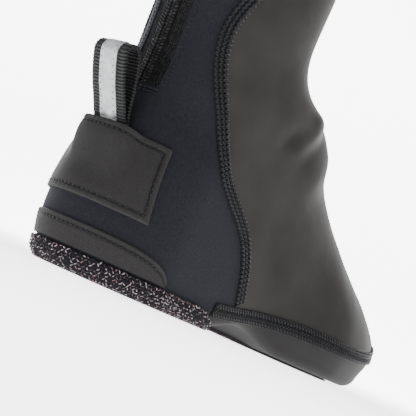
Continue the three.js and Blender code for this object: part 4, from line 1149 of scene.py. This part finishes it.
def build_loop():
    table = loop_line()
    fine_at = np.linspace(0, len(table) - 1, 3000)
    fine = between(table, fine_at)
    gone = gone_along(fine)
    count = int(gone[-1] / LINE_STEP)
    even = np.linspace(0, gone[-1], count)
    line = np.stack([np.interp(even, gone, fine[:, k]) for k in range(3)], -1)
    along = unit(np.gradient(line, axis=0))
    side = np.stack([np.zeros(count), along[:, 2], -along[:, 1]], -1)
    rib = settings().rib_pitch / MM
    v = np.linspace(-0.5, 0.5, 53)
    across = v * WEBBING_WIDTH
    course = even / rib
    cell = across / RIB_CELL
    stagger = np.where(np.floor(cell) % 2 == 0, 0.0, 0.5)
    crown = np.abs(np.sin(np.pi * (course[:, None] + 0.18 * stagger[None])))
    bead = 0.75 + 0.25 * np.abs(np.sin(np.pi * cell))[None]
    edge = rounded(0.5 - np.abs(v), 0.035)[None]
    thickness = (WEBBING / 2 - 0.3 + 0.5 * crown * bead) * (0.35 + 0.65 * edge)
    wander = 0.12 * np.sin(2 * np.pi * course)[:, None] * (np.abs(v) > 0.49)[None]
    x = across[None] + wander * np.sign(v)[None]
    base = line[:, None] + x[..., None] * np.array([1.0, 0, 0])
    outer, inner = base + side[:, None] * thickness[..., None], base - side[:, None] * thickness[..., None]
    points, faces = slab(outer, inner)
    # Painted light on the ribs: highlight on their crowns, shade in their hollows.
    tint = (crown ** 2.4 * (0.45 + 0.55 * bead)).ravel()
    add_piece("pull_loop_webbing", points, faces, [look(webbing_weave)], ("pull_loop",),
              crown=np.concatenate([tint, tint]))
    # Reflective strip: from the bend's inner side over the top and down the outer face
    gone_table = np.interp(np.arange(len(table)), fine_at, gone)
    keep = (even >= gone_table[8]) & (even <= gone_table[len(table) - 2] + 0.5)
    path, away = line[keep][::3], side[keep][::3]
    w = np.linspace(-0.5, 0.5, 25)
    low = WEBBING / 2 + 0.2
    far = np.linspace(0, 1, len(path))
    wrinkle = 0.28 * np.exp(-((far - 0.93) / 0.06) ** 2)[:, None] * np.sin(w * 9 + 0.6)[None]
    wrinkle = wrinkle + 0.06 * np.sin(far * 21)[:, None] * np.cos(w * 5)[None]
    sewn = -0.1 * np.exp(-((np.abs(w) - REFLECTIVE_STITCHES) / 0.035) ** 2)[None]
    height = low + 0.32 * rounded(0.5 - np.abs(w), 0.04)[None] + wrinkle + sewn
    strip_base = path[:, None] + (w * REFLECTIVE_WIDTH)[None, :, None] * np.array([1.0, 0, 0])
    top = strip_base + away[:, None] * height[..., None]
    bottom = strip_base + away[:, None] * (WEBBING / 2 - 0.3)
    rows = []
    for at in (-REFLECTIVE_STITCHES, REFLECTIVE_STITCHES):
        column = int(round((at + 0.5) * (len(w) - 1)))
        rows.append(stitches(top[:, column] + away * 0.05, away, 2.9, 0.8, 0.2))
    # Painted light on the wrinkles: ridges lighter, troughs darker.
    tint = np.clip(0.55 + wrinkle * 1.6, 0, 1)
    tape = (*slab(top, bottom), np.concatenate([tint.ravel(), tint.ravel()]))
    points, faces, counts, tint = joined(tape, *rows)
    marks = np.concatenate([np.zeros(counts[0]), np.ones(sum(counts[1:]))])
    grey = look(spun_thread, "grey_thread", "#3c3c40", 0.6)
    add_piece("reflective_tape", points, faces, [look(glass_bead_tape), grey],
              ("reflective_strip",), marks, tint)


# Zip, in millimetres off the wall's outside
ZIP_STEP = 0.36
COIL_HALF, COIL_RISE = 3.7, 0.95
TAPE_FACE, TAPE_BACK = -0.95, -2.1
SEWN_OUTSIDE = 2.2  # the rows that hold the tape, beside the window


def zip_yarns(pitch):
    """Place across, slant, length, radius, spacing, rise and first row of each line of yarn on the zip."""
    lines = []
    for side in (-1, 1):
        for at in (1.25, 2.85):
            lines.append((side * at, 1.2 * side, 1.75, 0.42, pitch, 0.2, 2.0 if at > 2 else 4.0))
            lines.append((side * (at + 0.35), 0.35 * side, 1.2, 0.24, pitch, 0.1, 3.0))
        for number, at in enumerate(np.arange(4.9, ZIP_HALF - 0.4, 1.05)):
            slant = 0.75 if number % 2 else -0.75
            lines.append((side * at, slant, 1.35, 0.23, 1.1, 0.08, 1.0 + number % 2))
    return lines


def build_zip():
    half = ZIP_HALF - 0.05
    s = np.linspace(-half, half, int(2 * half / ZIP_STEP) | 1)
    heights = np.arange(ZIP_BOTTOM + 0.3, height_of(float(RINGS[-1, BACK_Z])) - 0.2, ZIP_STEP)
    levels = back_level(heights)
    turns = turns_grid(levels, s)
    pitch = settings().coil_pitch / MM
    across = np.abs(s)[None]
    slit = -1.1 * np.exp(-((across / 0.5) ** 2))
    beside = rounded(np.clip(COIL_HALF - across, 0, None), 0.9)
    top = TAPE_FACE + COIL_RISE * beside + slit - 0.3 * np.exp(-(((across - 4.2) / 0.3) ** 2))
    level = np.repeat(levels[:, None], len(s), 1)
    outer, normal = surface(level, turns, np.repeat(top, len(heights), 0))
    inner, _ = surface(level, turns, TAPE_BACK)
    # Painted light on the tape: shade in the slit, a little highlight over the raised coil.
    tint = 0.12 + 0.06 * beside - 0.12 * (across < 0.5)
    tint = np.repeat(tint, len(heights), 0)
    # The tape's back gets no crown: painted shade.
    base = (*slab(outer, inner), np.concatenate([tint.ravel(), tint.ravel() * 0]))
    # Loops of thread over the coil, and the herringbone of the tapes beside it
    yarns = []
    for at, slant, length, radius, spacing, rise, shift in zip_yarns(pitch):
        rows_at = np.arange(shift, len(heights) - 2, spacing / ZIP_STEP)
        low = rows_at.astype(int)
        column = int(round((at + half) / (2 * half) * (len(s) - 1)))
        away = normal[low, column]
        ahead = unit(outer[low + 1, column] - outer[low, column])
        side = unit(np.cross(ahead, away))
        direction = ahead * math.cos(slant) + side * math.sin(slant)
        yarns.append(threads(outer[low, column] + away * rise, direction, away, length, radius, 0.2))
    points, faces, _, crown = joined(base, *yarns)
    add_piece("rear_zip_tape", points, faces, [look(zip_polyester)], ("rear_zip",), crown=crown)
    # Thread rows that hold the tape: through the neoprene beside the window and in a bar under it
    rows = []
    sewn_at = ZIP_HALF + SEWN_OUTSIDE
    for at in (sewn_at, -sewn_at):
        turn = turns_grid(levels, np.array([at]))[:, 0]
        points, normals = surface(levels, turn, 0.02)
        rows.append(stitches(points, normals, 1.9, 1.15, 0.34))
    for drop in (1.6, 3.2):
        across_bar = np.linspace(-sewn_at, sewn_at, 60)
        bar_level = float(back_level(ZIP_BOTTOM - drop))
        bar_turn = turns_grid([bar_level], across_bar)[0]
        points, normals = surface(np.full(len(across_bar), bar_level), bar_turn, 0.1)
        rows.append(stitches(points, normals, 2.6, 2.3, 0.42))
    points, faces, _, crown = joined(*rows)
    add_piece("rear_zip_stitching", points, faces, [black_thread()], crown=crown)
    metal = look(lacquered_zinc)
    for name in ("zip_slider", "zip_pull"):
        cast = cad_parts[name]
        cast.data.materials.clear()
        cast.data.materials.append(metal)
        bevel = cast.modifiers.new("soft_edges", "BEVEL")
        bevel.width = 0.25 * MM
        bevel.segments = 2
        bevel.limit_method = "ANGLE"


# Stage
GLOW_NEAR, GLOW_FAR = 2.7, 5.6  # the backdrop glows, least round the shoe, where the weaker glow is painted shade
GLOW_FROM, GLOW_TO = 0.15, 1.0
SWEEP_HALF, SWEEP_RISE = 3.0, 1.6
LAMP_AIM = (0, -0.05, 0.08)
CAMERA_HEIGHT = 0.005
CAMERA = {"azimuth": 38.0, "distance": 0.46, "aim": (0.0313, -0.0812, 0.0527), "lens": 86.5, "roll": 24.0}


def build_stage():
    points = []
    profile = [(-0.8, 0.0), (0.9, 0.0), (1.25, 0.05), (1.5, 0.2), (1.65, 0.45), (1.7, 0.8), (1.7, SWEEP_RISE)]
    azimuth = math.radians(CAMERA["azimuth"])
    away = Vector((-math.sin(azimuth), math.cos(azimuth), 0))
    side = Vector((math.cos(azimuth), math.sin(azimuth), 0))
    for distance, height in profile:
        for across in (-SWEEP_HALF, SWEEP_HALF):
            points.append(tuple(away * distance + side * across + Vector((0, 0, height))))
    faces = [(2 * i, 2 * i + 1, 2 * i + 3, 2 * i + 2) for i in range(len(profile) - 1)]
    mesh = bpy.data.meshes.new("studio_sweep")
    mesh.from_pydata(points, [], faces)
    sweep = bpy.data.objects.new("studio_sweep", mesh)
    bpy.context.scene.collection.objects.link(sweep)
    for polygon in mesh.polygons:
        polygon.use_smooth = True
    smoothing = sweep.modifiers.new("curve", "SUBSURF")
    smoothing.levels = smoothing.render_levels = 3
    paper, tree, shader = finish_of("studio_paper", Roughness=0.9, Specular_IOR_Level=0.1)
    tinted(tree, shader, spots(tree, 40.0), linear("#fbfbfb"), linear("#ffffff"))
    shader.inputs["Emission Color"].default_value = linear("#ffffff")
    place = node(tree, "ShaderNodeTexCoord").outputs["Object"]
    away_from_shoe = node(tree, "ShaderNodeVectorMath", {0: place}, operation="LENGTH").outputs["Value"]
    # Glow by distance from the shoe: painted shade on the paper round the shoe, brighter farther off.
    glow = node(tree, "ShaderNodeMapRange", {
        "Value": away_from_shoe, "From Min": GLOW_FROM, "From Max": GLOW_TO,
        "To Min": GLOW_NEAR, "To Max": GLOW_FAR,
    }, interpolation_type="SMOOTHSTEP").outputs["Result"]
    tree.links.new(glow, shader.inputs["Emission Strength"])
    mesh.materials.append(paper)
    world = bpy.data.worlds.new("studio_air")
    bpy.context.scene.world = world
    world.use_nodes = True
    background = world.node_tree.nodes["Background"]
    background.inputs["Color"].default_value = linear("#ffffff")
    background.inputs["Strength"].default_value = 0.45
    lamps = [
        ("key_light", (0.65, -0.45, 1.45), 0.8, 8.0),
        ("left_light", (-1.0, -0.75, 0.75), 0.7, 2.4),
        ("front_light", (0.95, 0.55, 0.9), 0.8, 2.8),
        ("low_light", (0.35, -1.2, 0.12), 0.6, 1.4),
    ]
    for name, place, width, power in lamps:
        light = bpy.data.lights.new(name, "AREA")
        light.size = width
        light.energy = power
        lamp = bpy.data.objects.new(name, light)
        lamp.location = place
        lamp.rotation_mode = "QUATERNION"
        lamp.rotation_quaternion = (Vector(LAMP_AIM) - Vector(place)).to_track_quat("-Z", "Y")
        bpy.context.scene.collection.objects.link(lamp)
    aim = Vector(CAMERA["aim"])
    drop = math.asin((aim.z - CAMERA_HEIGHT) / CAMERA["distance"])
    back = Vector((
        math.sin(azimuth) * math.cos(drop), -math.cos(azimuth) * math.cos(drop), -math.sin(drop)))
    lens = bpy.data.cameras.new("camera")
    lens.lens = CAMERA["lens"]
    lens.sensor_width = 36
    lens.clip_start, lens.clip_end = 0.01, 20
    camera = bpy.data.objects.new("camera", lens)
    camera.rotation_mode = "QUATERNION"
    camera.location = aim + back * CAMERA["distance"]
    roll = Matrix.Rotation(math.radians(CAMERA["roll"]), 3, "Z")
    camera.rotation_quaternion = ((-back).to_track_quat("-Z", "Y").to_matrix() @ roll).to_quaternion()
    bpy.context.scene.collection.objects.link(camera)
    bpy.context.scene.camera = camera


# Operators
class OVERSHOE_OT_wall(bpy.types.Operator):
    """Builds the upper and the sole panel as one folded wall with its lining"""
    bl_idname = "overshoe.wall"
    bl_label = "Upper and sole panel"

    def execute(self, context):
        build_wall()
        return {"FINISHED"}


class OVERSHOE_OT_bindings(bpy.types.Operator):
    """Folds knitted tape round the heel opening and the cleat opening"""
    bl_idname = "overshoe.bindings"
    bl_label = "Bindings"

    def execute(self, context):
        binding("heel_binding_tape", heel_path(130, 18, 24), BINDING_OUTSIDE, "heel_binding", 1.3)
        binding("cleat_binding_tape", cleat_path(150), BINDING_SOLE, "cleat_binding", 1.4)
        return {"FINISHED"}


class OVERSHOE_OT_seams(bpy.types.Operator):
    """Sews the side seams, the sole seam and the front seam"""
    bl_idname = "overshoe.seams"
    bl_label = "Seams"

    def execute(self, context):
        build_seams()
        return {"FINISHED"}


class OVERSHOE_OT_heel_pieces(bpy.types.Operator):
    """Lays and stitches the heel patch and the heel counter"""
    bl_idname = "overshoe.heel_pieces"
    bl_label = "Heel patch and counter"

    def execute(self, context):
        build_patch()
        build_counter()
        return {"FINISHED"}


class OVERSHOE_OT_pull_loop(bpy.types.Operator):
    """Folds the webbing loop and lays its reflective tape"""
    bl_idname = "overshoe.pull_loop"
    bl_label = "Pull loop"

    def execute(self, context):
        build_loop()
        return {"FINISHED"}


class OVERSHOE_OT_zip(bpy.types.Operator):
    """Sets the zip into the back and finishes its slider and pull"""
    bl_idname = "overshoe.zip"
    bl_label = "Rear zip"

    def execute(self, context):
        build_zip()
        return {"FINISHED"}


class OVERSHOE_OT_stage(bpy.types.Operator):
    """Sets up the pale studio, its lights and the camera"""
    bl_idname = "overshoe.stage"
    bl_label = "Studio"

    def execute(self, context):
        build_stage()
        return {"FINISHED"}


OPERATORS = (
    OVERSHOE_OT_wall, OVERSHOE_OT_bindings, OVERSHOE_OT_seams, OVERSHOE_OT_heel_pieces,
    OVERSHOE_OT_pull_loop, OVERSHOE_OT_zip, OVERSHOE_OT_stage,
)


class OVERSHOE_PT_pieces(bpy.types.Panel):
    """Lists the overshoe's settings and the pieces that it can build"""
    bl_idname = "OVERSHOE_PT_pieces"
    bl_label = "Cycling overshoe"
    bl_space_type = "VIEW_3D"
    bl_region_type = "UI"
    bl_category = "Overshoe"

    def draw(self, context):
        for name in OvershoeSettings.__annotations__:
            self.layout.prop(context.scene.overshoe, name)
        for each in OPERATORS:
            self.layout.operator(each.bl_idname)


CLASSES = (OvershoeSettings, *OPERATORS, OVERSHOE_PT_pieces)


def register():
    for each in CLASSES:
        bpy.utils.register_class(each)
    bpy.types.Scene.overshoe = bpy.props.PointerProperty(type=OvershoeSettings)


def unregister():
    del bpy.types.Scene.overshoe
    for each in reversed(CLASSES):
        bpy.utils.unregister_class(each)


def main():
    register()
    bpy.ops.overshoe.wall()
    bpy.ops.overshoe.bindings()
    bpy.ops.overshoe.seams()
    bpy.ops.overshoe.heel_pieces()
    bpy.ops.overshoe.pull_loop()
    bpy.ops.overshoe.zip()
    bpy.ops.overshoe.stage()


if __name__ == "__main__":
    main()
